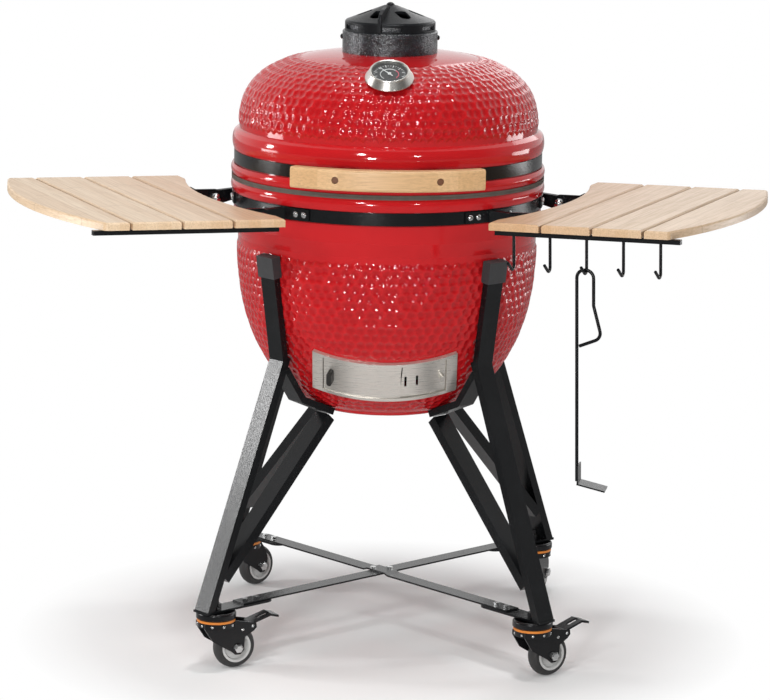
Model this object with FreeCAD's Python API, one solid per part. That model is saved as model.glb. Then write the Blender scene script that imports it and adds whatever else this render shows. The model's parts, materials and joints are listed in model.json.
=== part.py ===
import FreeCAD, Part
import math
import os

from FreeCAD import Rotation, Vector

# A ceramic kamado grill on a wheeled four-legged stand, with two side shelves that fold down.
# Millimetres and degrees. +Z is up, the front faces -Y, and the origin lies on the floor,
# on the axis of the round ceramic body.

# Ceramic body
bowl_step = 13.0  # how far the bowl at its widest stands back from the rims
bowl_depth = 325.0  # height of the curve that the bowl's side follows
bowl_power = 2.35  # fullness of that curve: 2 is an ellipse, more is squarer
foot_cut = 22.0  # how much of that curve's lower end the flat foot cuts away
belt_height = 106.0  # from the bowl's widest level up to the seam
wall = 25.0  # thickness of the ceramic
rim_radius = 277.0  # the two crowned rims that meet at the seam
groove_depth = 8.0  # of the grooves that hold the bands
skirt_step = 5.0  # how far the smooth belt below the base band stands back from the rims
seam_z = 834.0  # where lid and base meet
rim_height = 20.0
crown = 3.0  # how far rims and flange bulge
flange_step = 2.0
flange_height = 34.0
dome_step = 14.0
dome_height = 149.0
dome_power = 3.0
dome_foot = 23.5  # from the flange's lower edge up to where the dome is widest

# Bands and seals
band_width = 22.0
band_thickness = 2.5
band_clearance = 0.3
band_step = 1.5  # ceramic left showing above and below each band
felt = 3.85
felt_width = 20.0
seam_gap = 0.3
lug_reach = 18.0
lug_gap = 9.0

# Fire box, grate, ring and cooking grid
box_foot_share = 0.36  # of the bowl's radius
box_foot_gap = 99.0  # how far the fire box stays inside the bowl's radius: above its foot,
box_top_gap = 49.0  # and at its top
box_shoulder_rise = 95.0  # above the bowl's foot
box_top_drop = 38.0  # below the bowl's widest level
box_wall = 18.0
box_hole_radius = 8.0
box_hole_drop = 80.0
box_holes = 8
mouth_width = 120.0
mouth_height = 60.0
grate_rise = 120.0
grate_thickness = 10.0
ledge = 14.0
ring_height = 75.0
ring_wall = 18.0
grid_gap = 42.0
grid_rod = 3.5
grid_wires = 13
grid_brace_share = 0.43

# Draft door
draft_half_width = 122.0
draft_rise = 79.0  # middle of the door above the bowl's foot
draft_span = 90.0  # its length up the slope of the bowl
draft_sink = 5.0  # how deep the middle of its seat lies in the bowl
sheet = 1.2
slide_gap = 0.4
rail_width = 3.5
lip_width = 6.5
window_inset = 14.0
screen_slots = 2
screen_slot_pitch = 4.5
screen_slot_length = 24.0
door_overlap = 6.2  # angle by which the door and the inner slide both pass the middle
door_travel = 14.0
end_angle = 4.4

# Top vent
flue_radius = 55.0
collar_radius = 83.5
collar_height = 38.0
collar_wall = 5.0
cap_radius = 79.5
cap_wall = 4.0
cap_rim_height = 17.0
cap_rise = 43.8
cap_gap = 0.3
window_count = 6
vent_bolt_radius = 4.0

# Lid handle
handle_clearance = 32.0
handle_depth = 21.0
handle_height = 36.0
handle_half_angle = 30.0
handle_bolt_angle = 15.6
handle_bolt_radius = 3.0

# Temperature gauge
gauge_reach = 205.0  # distance of its stem from the body's axis at the dome's skin
bezel_radius = 41.5
dial_radius = 30.0
bezel_height = 16.0
stem_radius = 3.0
stem_length = 62.0

# Lid hinge
hinge_offset = 36.0
hinge_rise = 4.0  # of the hinge pin above the lid band's lower edge
lid_travel = 64.0
ear_spacing = 110.0
arm_spacing = 94.0
hinge_plate = 4.0
pin_radius = 6.0
running_clearance = 0.05
crank_radius = 45.0
spring_length = 144.0
spring_radius = 9.0
spring_wire = 2.5
spring_spacing = 52.0
spring_rod_radius = 4.0

# Side shelves, each in a frame of its own: u outward, v to the rear, w up
shelf_turn = 23.2  # how far each shelf's outward line is turned towards the front
shelf_rise = 1.6  # slope of the shelf's top, up towards its outer edge
shelf_pivot_out = 8.0
shelf_pivot_rise = 5.0
shelf_top = 32.5  # height of the shelf's top above its hinge line
slat_thickness = 13.0
slat_pitch = 88.3
slat_gap = 5.0
slat_count = 4
first_gap_u = 423.6
shelf_front = -355.0
shelf_back = 167.0
shelf_inner_end = 334.0
shelf_inner_mid = 372.0
shelf_outer_end = 644.0
shelf_outer_back = 650.0
shelf_outer_mid = 694.0
slat_round = 2.5
arm_v = (-120.0, 113.0)
arm_thickness = 4.0
arm_height = 30.0
arm_reach = 600.0
rail_depth = 8.0
rail_thickness = 10.0
rail_inset = 6.0
ear_thickness = 3.0
ear_gap = 0.5
bracket_plate = 3.0
shelf_bolt_radius = 4.0

# Hooks under the front of the right shelf, and the ash rake on one of them
hook_first_u = 374.0
hook_pitch = 63.4
hook_count = 5
hook_wire = 2.6
hook_drop = 61.0
hook_bend = 6.5
hook_reach = 26.0
hook_tip = 19.0
rake_hook = 2
rake_wire = 2.8
rake_seat_gap = 0.3
rake_loop_radius = 14.5
rake_loop_length = 126.0
rake_loop_bulge = 40.0
rake_length = 352.0
rake_blade = (48.0, 40.0, 2.5)
rake_blade_drop = 14.0
rake_blade_turn = 13.0
rake_flange = 31.0

# Stand
stand_turn = -2.4  # the bowl only rests in the stand, which sits turned by this much
tube_width = 36.0
post_thickness = 12.0
leg_thickness = 15.0
brace_thickness = 18.0
post_top_side = 13.1  # how far the middle of each bar stands out from the bowl's surface
junction_side = 23.3
knee_side = 38.6
arm_end_side = 13.7
post_top_drop = 14.0  # below the bowl's widest level
junction_rise = 105.0  # above the bowl's foot
knee_rise = 32.0
arm_end_rise = 1.8
leg_foot = (413.0, 109.0)
brace_low = (381.0, 162.0)
cap_height = 38.0
cap_skin = 3.0
tab_thickness = 4.0
tab_inner = 285.0
tab_outer = 424.0
bar_width = 30.0
bar_thickness = 3.0
bar_reach = 338.0
bar_bolts = (299.0, 323.0)
cross_bolt_pitch = 30.0
bolt_radius = 3.0

# Casters
caster_reach = 388.0
wheel_radius = 38.0
wheel_width = 26.0
tyre_depth = 11.0
trail = 34.0
caster_top_z = 105.0
race_radius = 35.0
race_height = 13.0
seal_height = 4.0
fork_plate = 2.5
fork_gap = 2.75
axle_radius = 4.0
stem_bolt_radius = 5.0
pedal_pivot = (62.0, 74.5)
pedal_pin_radius = 2.5
pedal_barrel = 5.5
pedal_length = 52.0
pedal_rise = 16.0
pedal_plate = 4.0
caster_turns = {"front_left": 28.0, "front_right": 36.0, "rear_left": 46.0, "rear_right": 72.0}
caster_corners = {"front_left": 225.0, "front_right": 315.0, "rear_left": 135.0, "rear_right": 45.0}
braked = ("front_left", "front_right")

UP = Vector(0, 0, 1)
ORIGIN = Vector(0, 0, 0)
FRONT = -90.0  # direction of the front, as an angle from +X

# Heights and radii that follow from the sizes above
bowl_radius = rim_radius - bowl_step
bowl_top_z = seam_z - belt_height
foot_z = bowl_top_z - bowl_depth + foot_cut
groove_radius = rim_radius - groove_depth
skirt_radius = rim_radius - skirt_step
flange_radius = rim_radius - flange_step
dome_radius = rim_radius - dome_step
box_foot_radius = bowl_radius * box_foot_share
box_shoulder = (bowl_radius - box_foot_gap, foot_z + box_shoulder_rise)
box_top = (bowl_radius - box_top_gap, bowl_top_z - box_top_drop)
grate_z = foot_z + grate_rise
grid_radius = bowl_radius - grid_gap
base_rim_z = seam_z - seam_gap / 2 - felt
lid_rim_z = seam_z + seam_gap / 2 + felt
base_band_z = base_rim_z - rim_height - 2 * band_step - band_width
lid_band_z = lid_rim_z + rim_height
flange_z = lid_band_z + band_width + band_step
dome_z = flange_z + dome_foot
dome_seat_z = dome_z + dome_height
band_inner = groove_radius + band_clearance
band_outer = band_inner + band_thickness
handle_z = lid_band_z + band_width / 2
handle_inner = rim_radius + handle_clearance
hinge_y = rim_radius + hinge_offset
hinge_z = lid_band_z + hinge_rise
shelf_pivot_u = rim_radius + shelf_pivot_out
shelf_pivot_z = base_band_z + shelf_pivot_rise


# ---------------------------------------------------------------- drawing helpers

def point(x, z):
    """A point of a profile drawn in the XZ plane."""
    return Vector(x, 0, z)


def outline(start, *steps):
    """A closed wire: each step is one point for a line, two for an arc, more for a curve."""
    edges = []
    here = start
    for step in steps + ((start,),):
        end = step[-1]
        if len(step) == 1 and (end - here).Length > 1e-6:
            edges.append(Part.LineSegment(here, end).toShape())
        elif len(step) == 2:
            edges.append(Part.Arc(here, step[0], end).toShape())
        elif len(step) > 2:
            curve = Part.BSplineCurve()
            curve.interpolate([here] + list(step))
            edges.append(curve.toShape())
        here = end
    return Part.Wire(edges)


def polygon(corners):
    return outline(corners[0], *[(corner,) for corner in corners[1:]])


def turned(wire, start=0.0, sweep=360.0):
    """Revolve a profile about the body's axis, from an angle measured from +X."""
    solid = Part.Face(wire).revolve(ORIGIN, UP, sweep)
    return solid.rotated(ORIGIN, UP, start)


def ring(inner, outer, low, high):
    return turned(polygon([point(inner, low), point(outer, low), point(outer, high), point(inner, high)]))


def rod(start, end, radius):
    """A round bar between two points."""
    return Part.makeCylinder(radius, (end - start).Length, start, end - start)


def hexagon(centre, axis, radius, height):
    """A hexagonal nut or bolt head that stands on a centre point."""
    corners = [Vector(radius * math.cos(math.radians(60 * k)), radius * math.sin(math.radians(60 * k)), 0)
               for k in range(6)]
    nut = Part.Face(polygon(corners)).extrude(Vector(0, 0, height))
    return placed(nut, Rotation(UP, axis), centre)


def dome_head(centre, axis, radius, height):
    """A domed bolt head or cap nut that stands on a centre point."""
    rise = min(height * 0.65, radius * 0.9)
    ball = (radius ** 2 + rise ** 2) / (2 * rise)
    half = math.asin(radius / ball) / 2
    shoulder = point(ball * math.sin(half), height - ball + ball * math.cos(half))
    head = turned(outline(point(0, 0), (point(radius, 0),), (point(radius, height - rise),),
                          (shoulder, point(0, height))))
    return placed(head, Rotation(UP, axis), centre)


def placed(shape, rotation, position):
    moved = shape.copy()
    moved.Placement = FreeCAD.Placement(position, rotation).multiply(moved.Placement)
    return moved


def slab(corners, thickness, start=0.0):
    """Extrude an XZ outline along +Y, from a given Y."""
    face = Part.Face(polygon([point(x, z) for x, z in corners]))
    return face.extrude(Vector(0, thickness, 0)).translated(Vector(0, start, 0))


def strip(start, end, thickness, width):
    """A flat bar whose middle line runs between two XZ points, centred on Y = 0."""
    a = point(*start)
    b = point(*end)
    side = (b - a).cross(Vector(0, 1, 0)).normalize() * (thickness / 2)
    face = Part.Face(polygon([a - side, b - side, b + side, a + side]))
    return face.extrude(Vector(0, width, 0)).translated(Vector(0, -width / 2, 0))


def fused(shapes):
    """Join touching shapes into one clean solid."""
    return shapes[0].multiFuse(shapes[1:]).removeSplitter()


def group(shapes):
    return Part.makeCompound(shapes)


def swollen(radius, height, power, z_wide, z):
    """Radius of a superellipse of revolution at a given height."""
    return radius * (1 - abs((z - z_wide) / height) ** power) ** (1 / power)


def curve_points(radius, height, power, z_wide, levels):
    return tuple(point(swollen(radius, height, power, z_wide, z), z) for z in levels)


def steps_between(start, end, count):
    return [start + (end - start) * k / count for k in range(1, count + 1)]


def eased(start, end, count):
    """Heights that crowd together towards the end, where a curve bends most."""
    return [start + (end - start) * math.sin(math.pi / 2 * k / count) for k in range(1, count + 1)]


def eased_off(start, end, count):
    """Heights that crowd together towards the start."""
    return [start + (end - start) * (1 - math.cos(math.pi / 2 * k / count)) for k in range(1, count + 1)]


# ---------------------------------------------------------------- ceramic body

def bowl_outside(z):
    return swollen(bowl_radius, bowl_depth, bowl_power, bowl_top_z, z)


def draft_slope():
    """Slope of the bowl's side behind the draft door, from upright."""
    middle = foot_z + draft_rise
    reach = draft_span / 3
    return math.degrees(math.atan2(bowl_outside(middle + reach) - bowl_outside(middle - reach), 2 * reach))


def draft_radius():
    """The door is a plain cylinder that leans with the bowl: this is its radius."""
    return bowl_outside(foot_z + draft_rise) / math.cos(math.radians(draft_slope()))


def draft_half_angle():
    return math.degrees(math.asin(draft_half_width / draft_radius()))


def draft_seated(shape):
    """Lean a shape, drawn about an upright axis, so that it lies along the bowl's side."""
    lean = Rotation(Vector(1, 0, 0), draft_slope())
    front = Vector(0, -bowl_outside(foot_z + draft_rise) + draft_sink, foot_z + draft_rise)
    centre = front + lean.multVec(Vector(0, draft_radius(), 0))
    return placed(shape, lean, centre)


def draft_sector(along, out, angles):
    """A piece of the door's cylinder between two heights, two depths and two angles from the front."""
    r = draft_radius()
    low = -draft_span / 2
    section = polygon([point(r + out[0], low + along[0]), point(r + out[1], low + along[0]),
                       point(r + out[1], low + along[1]), point(r + out[0], low + along[1])])
    return draft_seated(turned(section, FRONT + angles[0], angles[1] - angles[0]))


def base_shell():
    foot_radius = bowl_outside(foot_z + 6)
    inner_floor = foot_z + wall
    inside = (bowl_radius - wall, bowl_depth - wall, bowl_power, bowl_top_z)
    rim_low = base_band_z + band_width + band_step
    profile = outline(
        point(0, foot_z), (point(foot_radius - 8, foot_z),),
        (point(foot_radius - 3, foot_z + 1.5), point(foot_radius, foot_z + 6)),
        curve_points(bowl_radius, bowl_depth, bowl_power, bowl_top_z, eased_off(foot_z + 6, bowl_top_z, 8)),
        (point(skirt_radius, bowl_top_z + 25),),
        (point(skirt_radius, base_band_z - band_step),), (point(groove_radius, base_band_z - band_step),),
        (point(groove_radius, rim_low),), (point(rim_radius - crown, rim_low),),
        (point(rim_radius, (rim_low + base_rim_z) / 2), point(rim_radius - crown, base_rim_z)),
        (point(rim_radius - wall - 6, base_rim_z),),
        (point(bowl_radius - wall, bowl_top_z),),
        curve_points(*inside, [inner_floor] + eased_off(inner_floor, bowl_top_z, 8)[:-1])[::-1],
        (point(0, inner_floor),))
    shell = turned(profile)
    half = draft_half_angle()
    seat = draft_sector((-4, draft_span + 4), (0, 60), (-half - 1, half + 1))
    opening = (window_inset + 4, draft_span - window_inset - 4)
    window = draft_sector(opening, (-80, 60), (end_angle + 3 - half, half - end_angle - 3))
    return shell.cut(seat).cut(window)


def lid_shell():
    flange_top = flange_z + flange_height
    lid_inside = (dome_radius - wall, dome_height - wall, dome_power, dome_z)
    low = dome_z + 12
    land = collar_radius + 3
    crest = dome_z + dome_height * (1 - (land / dome_radius) ** dome_power) ** (1 / dome_power)
    inner_crest = dome_seat_z - wall
    inner_land = flue_radius + 10
    top_inside = dome_z + (dome_height - wall) * (1 - (inner_land / (dome_radius - wall)) ** dome_power) ** (1 / 3)
    profile = outline(
        point(rim_radius - wall - 6, lid_rim_z), (point(rim_radius - crown, lid_rim_z),),
        (point(rim_radius, lid_rim_z + rim_height / 2 - 1), point(rim_radius - crown, lid_band_z - band_step)),
        (point(groove_radius, lid_band_z - band_step),), (point(groove_radius, flange_z),),
        (point(flange_radius - crown, flange_z),),
        (point(flange_radius, flange_z + flange_height * 0.45), point(flange_radius - crown, flange_top - 3)),
        (point(dome_radius, low + 2),),
        curve_points(dome_radius, dome_height, dome_power, dome_z, eased(low + 8, crest, 6)),
        (point(collar_radius, crest),), (point(flue_radius, crest),), (point(flue_radius, inner_crest),),
        (point(inner_land, top_inside),),
        curve_points(*lid_inside, eased(dome_z + 8, top_inside, 6)[:-1])[::-1],
        (point(dome_radius - wall, dome_z),))
    shell = turned(profile)
    return shell.cut(gauge_placed(rod(point(0, -wall * 2), point(0, wall), stem_radius + 1.2)))


def fire_box():
    foot_low = foot_z + wall
    shoulder_x, shoulder_z = box_shoulder
    top_x, top_z = box_top
    slope = (top_x - shoulder_x) / (top_z - shoulder_z)
    ledge_x = shoulder_x + (grate_z - shoulder_z) * slope - box_wall
    profile = outline(
        point(0, foot_low), (point(box_foot_radius, foot_low),), (point(shoulder_x, shoulder_z),),
        (point(top_x, top_z),), (point(top_x - box_wall, top_z),), (point(ledge_x, grate_z),),
        (point(ledge_x - ledge, grate_z),), (point(box_foot_radius, foot_low + box_wall + 14),),
        (point(box_foot_radius - 16, foot_low + box_wall),), (point(0, foot_low + box_wall),))
    pot = turned(profile)
    mouth = Part.makeBox(mouth_width, top_x, mouth_height, Vector(-mouth_width / 2, -top_x, foot_low + box_wall + 2))
    pot = pot.cut(mouth)
    holes = []
    level = top_z - box_hole_drop
    for k in range(box_holes):
        spoke = rod(Vector(0, 0, level), Vector(top_x, 0, level), box_hole_radius)
        holes.append(spoke.rotated(ORIGIN, UP, 360 / box_holes * (k + 0.5)))
    return pot.cut(group(holes))


def charcoal_grate():
    shoulder_x, shoulder_z = box_shoulder
    slope = (box_top[0] - shoulder_x) / (box_top[1] - shoulder_z)
    radius = shoulder_x + (grate_z - shoulder_z) * slope - box_wall - 2.5
    plate = Part.makeCylinder(radius, grate_thickness, Vector(0, 0, grate_z))
    slots = []
    for k in range(-4, 5):
        reach = math.sqrt((radius - 16) ** 2 - (k * 28.0) ** 2)
        for side in (-1, 1):
            low = 7.0 if side > 0 else -reach
            slots.append(Part.makeBox(12, reach - 7, grate_thickness, Vector(k * 28.0 - 6, low, grate_z)))
    return plate.cut(group(slots))


def fire_ring():
    outer = box_top[0] + 7
    low = box_top[1]
    shape = ring(outer - ring_wall, outer, low, low + ring_height)
    notches = [Part.makeBox(50, outer, 26, Vector(-25, 0, low + ring_height - 26)).rotated(ORIGIN, UP, 120 * k)
               for k in range(3)]
    return shape.cut(group(notches))


def cooking_grid():
    level = box_top[1] + ring_height + grid_rod
    hoop = ring(grid_radius - 2 * grid_rod, grid_radius, level - grid_rod, level + grid_rod)
    wires = []
    for k in range(grid_wires):
        x = (k - (grid_wires - 1) / 2) * 2 * (grid_radius - 12) / grid_wires
        reach = math.sqrt((grid_radius - grid_rod) ** 2 - x ** 2)
        wires.append(rod(Vector(x, -reach, level), Vector(x, reach, level), grid_rod * 0.7))
    braces = [rod(Vector(-reach_x(y), y, level - 1), Vector(reach_x(y), y, level - 1), grid_rod * 0.7)
              for y in (-grid_radius * grid_brace_share, grid_radius * grid_brace_share)]
    return fused([hoop] + wires + braces)


def reach_x(y):
    return math.sqrt((grid_radius - grid_rod) ** 2 - y ** 2)


def gasket(low):
    return ring(rim_radius - 1 - felt_width, rim_radius - 1, low, low + felt)


# ---------------------------------------------------------------- bands

def band(low):
    """A steel band with its two ends bent out behind the grill, where a bolt draws them together."""
    half = lug_gap / 2
    loop = ring(band_inner, band_outer, low, low + band_width)
    loop = loop.cut(Part.makeBox(lug_gap, band_outer, band_width, Vector(-half, band_inner * 0.5, low)))
    lugs = [Part.makeBox(band_thickness, lug_reach, band_width,
                         Vector(side * (half + band_thickness / 2) - band_thickness / 2, band_inner + 0.5, low))
            for side in (-1, 1)]
    loop = fused([loop] + lugs)
    return loop.cut(rod(*lug_bolt_line(low), bolt_radius + 0.1))


def lug_bolt_line(low):
    y = band_inner + lug_reach - 6
    z = low + band_width / 2
    return Vector(-lug_gap / 2 - 9, y, z), Vector(lug_gap / 2 + 9, y, z)


def lug_bolt(low):
    start, end = lug_bolt_line(low)
    face = lug_gap / 2 + band_thickness
    head = hexagon(Vector(-face, start.y, start.z), Vector(-1, 0, 0), bolt_radius * 1.7, 4)
    nut = hexagon(Vector(face, start.y, start.z), Vector(1, 0, 0), bolt_radius * 1.7, 4)
    return fused([rod(start, end, bolt_radius), head, nut])


# ---------------------------------------------------------------- lid hinge

def along_x(shape_corners, thickness, x):
    """Extrude a YZ outline along X, centred on a given X."""
    face = Part.Face(polygon([Vector(0, y, z) for y, z in shape_corners]))
    return face.extrude(Vector(thickness, 0, 0)).translated(Vector(x - thickness / 2, 0, 0))


def crank(angle):
    """Where the crank rod of the lid bracket lies, at an angle above level."""
    a = math.radians(angle)
    return hinge_y + crank_radius * math.cos(a), hinge_z + crank_radius * math.sin(a)


def spring_anchor():
    y, z = crank(lid_travel / 2)
    return y, z - spring_length


def band_saddle(low, half_width):
    """A curved plate behind the grill that lies on a band."""
    plate = ring(band_outer, band_outer + 3, low, low + band_width)
    keep = Part.makeBox(2 * half_width, band_outer, band_width, Vector(-half_width, band_outer * 0.6, low))
    gap = Part.makeBox(lug_gap + 26, band_outer, band_width, Vector(-lug_gap / 2 - 13, band_outer * 0.6, low))
    return plate.common(keep).cut(gap)


def behind(radius, x):
    """How far back a round wall lies at a distance from the middle plane."""
    return math.sqrt(radius ** 2 - x ** 2)


def x_rod(y, z, length, radius):
    return rod(Vector(-length / 2, y, z), Vector(length / 2, y, z), radius)


def hinge_base_bracket():
    anchor_y, anchor_z = spring_anchor()
    ear_inside = (ear_spacing - hinge_plate) / 2
    clear = behind(rim_radius, ear_inside) + 1.0
    front = behind(band_outer, ear_inside + hinge_plate) - 1
    corners = [(front, base_band_z), (anchor_y - 8, anchor_z - 9), (anchor_y + 9, anchor_z - 6),
               (anchor_y + 9, anchor_z + 12), (hinge_y + 14, hinge_z), (hinge_y + 10, hinge_z + 10),
               (hinge_y, hinge_z + 14), (hinge_y - 10, hinge_z + 10), (clear, hinge_z - 24),
               (clear, base_band_z + band_width), (front, base_band_z + band_width)]
    ears = [along_x(corners, hinge_plate, side * ear_spacing / 2) for side in (-1, 1)]
    bar = x_rod(anchor_y, anchor_z, ear_spacing, spring_rod_radius)
    bracket = fused(ears + [bar, band_saddle(base_band_z, ear_spacing / 2 + 14)])
    bracket = bracket.cut(Part.makeCylinder(band_outer, hinge_z, Vector(0, 0, 0)))
    return bracket.cut(x_rod(hinge_y, hinge_z, ear_spacing + 20, pin_radius))


def hinge_lid_bracket():
    rod_y, rod_z = crank(lid_travel / 2)
    top = lid_band_z + band_width
    front = behind(band_outer, (arm_spacing + hinge_plate) / 2) - 1
    corners = [(front, lid_band_z), (hinge_y - 8, hinge_z - 11), (hinge_y + 2, hinge_z - 12),
               (hinge_y + 12, hinge_z - 4), (rod_y + 7, rod_z - 5), (rod_y + 6, rod_z + 6), (rod_y - 5, rod_z + 8),
               (hinge_y, hinge_z + 14), (front, top)]
    arms = [along_x(corners, hinge_plate, side * arm_spacing / 2) for side in (-1, 1)]
    bar = x_rod(rod_y, rod_z, arm_spacing, spring_rod_radius)
    bracket = fused(arms + [bar, band_saddle(lid_band_z, arm_spacing / 2 + 14)])
    bracket = bracket.cut(Part.makeCylinder(band_outer, top + 50, Vector(0, 0, 0)))
    return bracket.cut(x_rod(hinge_y, hinge_z, ear_spacing + 20, pin_radius + running_clearance))


def hinge_pin():
    end = ear_spacing / 2 + hinge_plate / 2
    pin = x_rod(hinge_y, hinge_z, 2 * end, pin_radius)
    heads = [dome_head(Vector(side * end, hinge_y, hinge_z), Vector(side, 0, 0), 9, 6) for side in (-1, 1)]
    return fused([pin] + heads)


def hinge_springs():
    """Two close-wound coils between the bracket rods, each kept as its outer sleeve."""
    y, low = spring_anchor()
    high = low + spring_length
    start = low + spring_rod_radius + 0.4
    height = high - low - 2 * (spring_rod_radius + 0.4)
    coils = []
    for side in (-1, 1):
        foot = Vector(side * spring_spacing / 2, y, start)
        sleeve = Part.makeCylinder(spring_radius, height, foot)
        coils.append(sleeve.cut(Part.makeCylinder(spring_radius - spring_wire, height, foot)))
    return group(coils)


# ---------------------------------------------------------------- lid handle

def lid_handle():
    outer = handle_inner + handle_depth
    soft = 5.0
    low = handle_z - handle_height / 2
    high = handle_z + handle_height / 2
    section = outline(
        point(handle_inner, low + 2), (point(handle_inner + 2, low),), (point(outer - soft, low),),
        (point(outer - soft * 0.29, low + soft * 0.29), point(outer, low + soft)), (point(outer, high - soft),),
        (point(outer - soft * 0.29, high - soft * 0.29), point(outer - soft, high)),
        (point(handle_inner + 2, high),), (point(handle_inner, high - 2),))
    bar = turned(section, FRONT - handle_half_angle, 2 * handle_half_angle)
    for side in (-1, 1):
        bore = rod(point(handle_inner - 5, handle_z), point(outer - 5, handle_z), handle_bolt_radius + 0.1)
        sink = rod(point(outer - 6, handle_z), point(outer + 5, handle_z), handle_bolt_radius * 2 + 0.2)
        bar = bar.cut(fused([bore, sink]).rotated(ORIGIN, UP, FRONT + side * handle_bolt_angle))
    return bar


def handle_brackets():
    """Two folded straps: a foot on the lid band, a web that stands out, and a pad behind the bar."""
    straps = []
    for side in (-1, 1):
        foot = turned(polygon([point(band_outer, lid_band_z), point(band_outer + 3, lid_band_z),
                               point(band_outer + 3, lid_band_z + band_width),
                               point(band_outer, lid_band_z + band_width)]), -5.5, 11)
        length = handle_inner - 0.3 - band_outer - 1
        webs = [Part.makeBox(length, 3, band_width - 2, Vector(band_outer + 1, y, lid_band_z + 1))
                for y in (-13.5, 10.5)]
        pad = Part.makeBox(3, 27, band_width + 6, Vector(handle_inner - 4.5, -13.5, lid_band_z - 3))
        strap = fused([foot, pad] + webs)
        strap = strap.cut(rod(point(band_outer + 4, handle_z), point(handle_inner + 4, handle_z),
                              handle_bolt_radius + 0.1))
        straps.append(strap.rotated(ORIGIN, UP, FRONT + side * handle_bolt_angle))
    return group(straps)


def handle_bolts():
    bolts = []
    outer = handle_inner + handle_depth
    for side in (-1, 1):
        shank = rod(point(handle_inner - 11, handle_z), point(outer - 6, handle_z), handle_bolt_radius)
        head = rod(point(outer - 6, handle_z), point(outer - 2.5, handle_z), handle_bolt_radius * 1.9)
        nut = hexagon(point(handle_inner - 4.8, handle_z), Vector(-1, 0, 0), handle_bolt_radius * 1.8, 4)
        bolts.append(fused([shank, head, nut]).rotated(ORIGIN, UP, FRONT + side * handle_bolt_angle))
    return group(bolts)


# ---------------------------------------------------------------- gauge

def gauge_placed(shape):
    """Move a shape drawn about Z = 0 onto the dome, so that its +Z points out of the skin."""
    z = dome_height * (1 - (gauge_reach / dome_radius) ** dome_power) ** (1 / dome_power)
    lean = math.degrees(math.atan2(gauge_reach ** (dome_power - 1) / dome_radius ** dome_power,
                                   z ** (dome_power - 1) / dome_height ** dome_power))
    return placed(shape, Rotation(Vector(1, 0, 0), lean), Vector(0, -gauge_reach, dome_z + z))


def gauge_bezel():
    lift = 4.5
    profile = outline(
        point(stem_radius + 0.1, lift), (point(bezel_radius - 2, lift),),
        (point(bezel_radius, lift + 1.2), point(bezel_radius - 1.0, lift + 3),),
        (point(dial_radius + 4.5, lift + bezel_height - 2),),
        (point(dial_radius + 2.5, lift + bezel_height), point(dial_radius + 0.5, lift + bezel_height - 1.5)),
        (point(dial_radius + 0.5, lift + 7),), (point(stem_radius + 0.1, lift + 7),))
    return gauge_placed(turned(profile))


def gauge_disc(radius, low, thickness, bore=0.0):
    disc = Part.makeCylinder(radius, thickness, point(0, low))
    if bore:
        disc = disc.cut(Part.makeCylinder(bore, thickness, point(0, low)))
    return gauge_placed(disc)


def gauge_needle():
    blade = Part.Face(polygon([Vector(-1.1, -8, 0), Vector(1.1, -8, 0), Vector(0.4, dial_radius - 5, 0),
                               Vector(-0.4, dial_radius - 5, 0)])).extrude(Vector(0, 0, 0.8))
    hub = Part.makeCylinder(3, 1.6)
    needle = fused([blade, hub]).cut(Part.makeCylinder(1.05, 2))
    needle = needle.rotated(ORIGIN, UP, 42).translated(point(0, 4.5 + 9.1))
    return gauge_placed(needle)


def gauge_stem():
    """The sensing tube through the lid, its nut inside, and the spindle that carries the needle."""
    tube = rod(point(0, 4.5 - stem_length), point(0, 4.5 + 7), stem_radius)
    spindle = rod(point(0, 11), point(0, 4.5 + 10.6), 1.0)
    nut = hexagon(point(0, -wall - 3.2), Vector(0, 0, -1), 9, 5)
    return gauge_placed(fused([tube, spindle, nut]))


# ---------------------------------------------------------------- top vent

def vent_land():
    land = collar_radius + 3
    return dome_z + dome_height * (1 - (land / dome_radius) ** dome_power) ** (1 / dome_power)


def vent_top():
    return vent_land() + collar_height


def window_cutter(inner, outer, low, high, width, offset=0.0):
    cutters = [turned(polygon([point(inner, low), point(outer, low), point(outer, high), point(inner, high)]),
                      offset + 360.0 / window_count * k - width / 2, width) for k in range(window_count)]
    return group(cutters)


def vent_collar():
    low = vent_land()
    top = vent_top()
    inner = collar_radius - collar_wall
    crown_outer = cap_radius - cap_wall - 0.6
    profile = outline(
        point(flue_radius, low), (point(collar_radius, low),), (point(collar_radius, top - 1.5),),
        (point(collar_radius - 1.5, top),), (point(crown_outer, top),), (point(crown_outer, top + 13),),
        (point(crown_outer - 4, top + 13),), (point(crown_outer - 4, top - 4),), (point(inner, top - 6),),
        (point(inner, low + 5),), (point(flue_radius, low + 5),))
    body = turned(profile)
    hub = Part.makeCylinder(9, 8, point(0, top - 8))
    spider = [Part.makeBox(crown_outer - 2, 8, 6, Vector(0, -4, top - 8)).rotated(ORIGIN, UP, 120 * k)
              for k in range(3)]
    body = fused([body, hub] + spider)
    body = body.cut(window_cutter(crown_outer - 8, crown_outer + 1, top + 3, top + 11, 30))
    return body.cut(Part.makeCylinder(vent_bolt_radius, 60, point(0, top - 30)))


def cap_peak():
    return vent_top() + cap_rise


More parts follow.
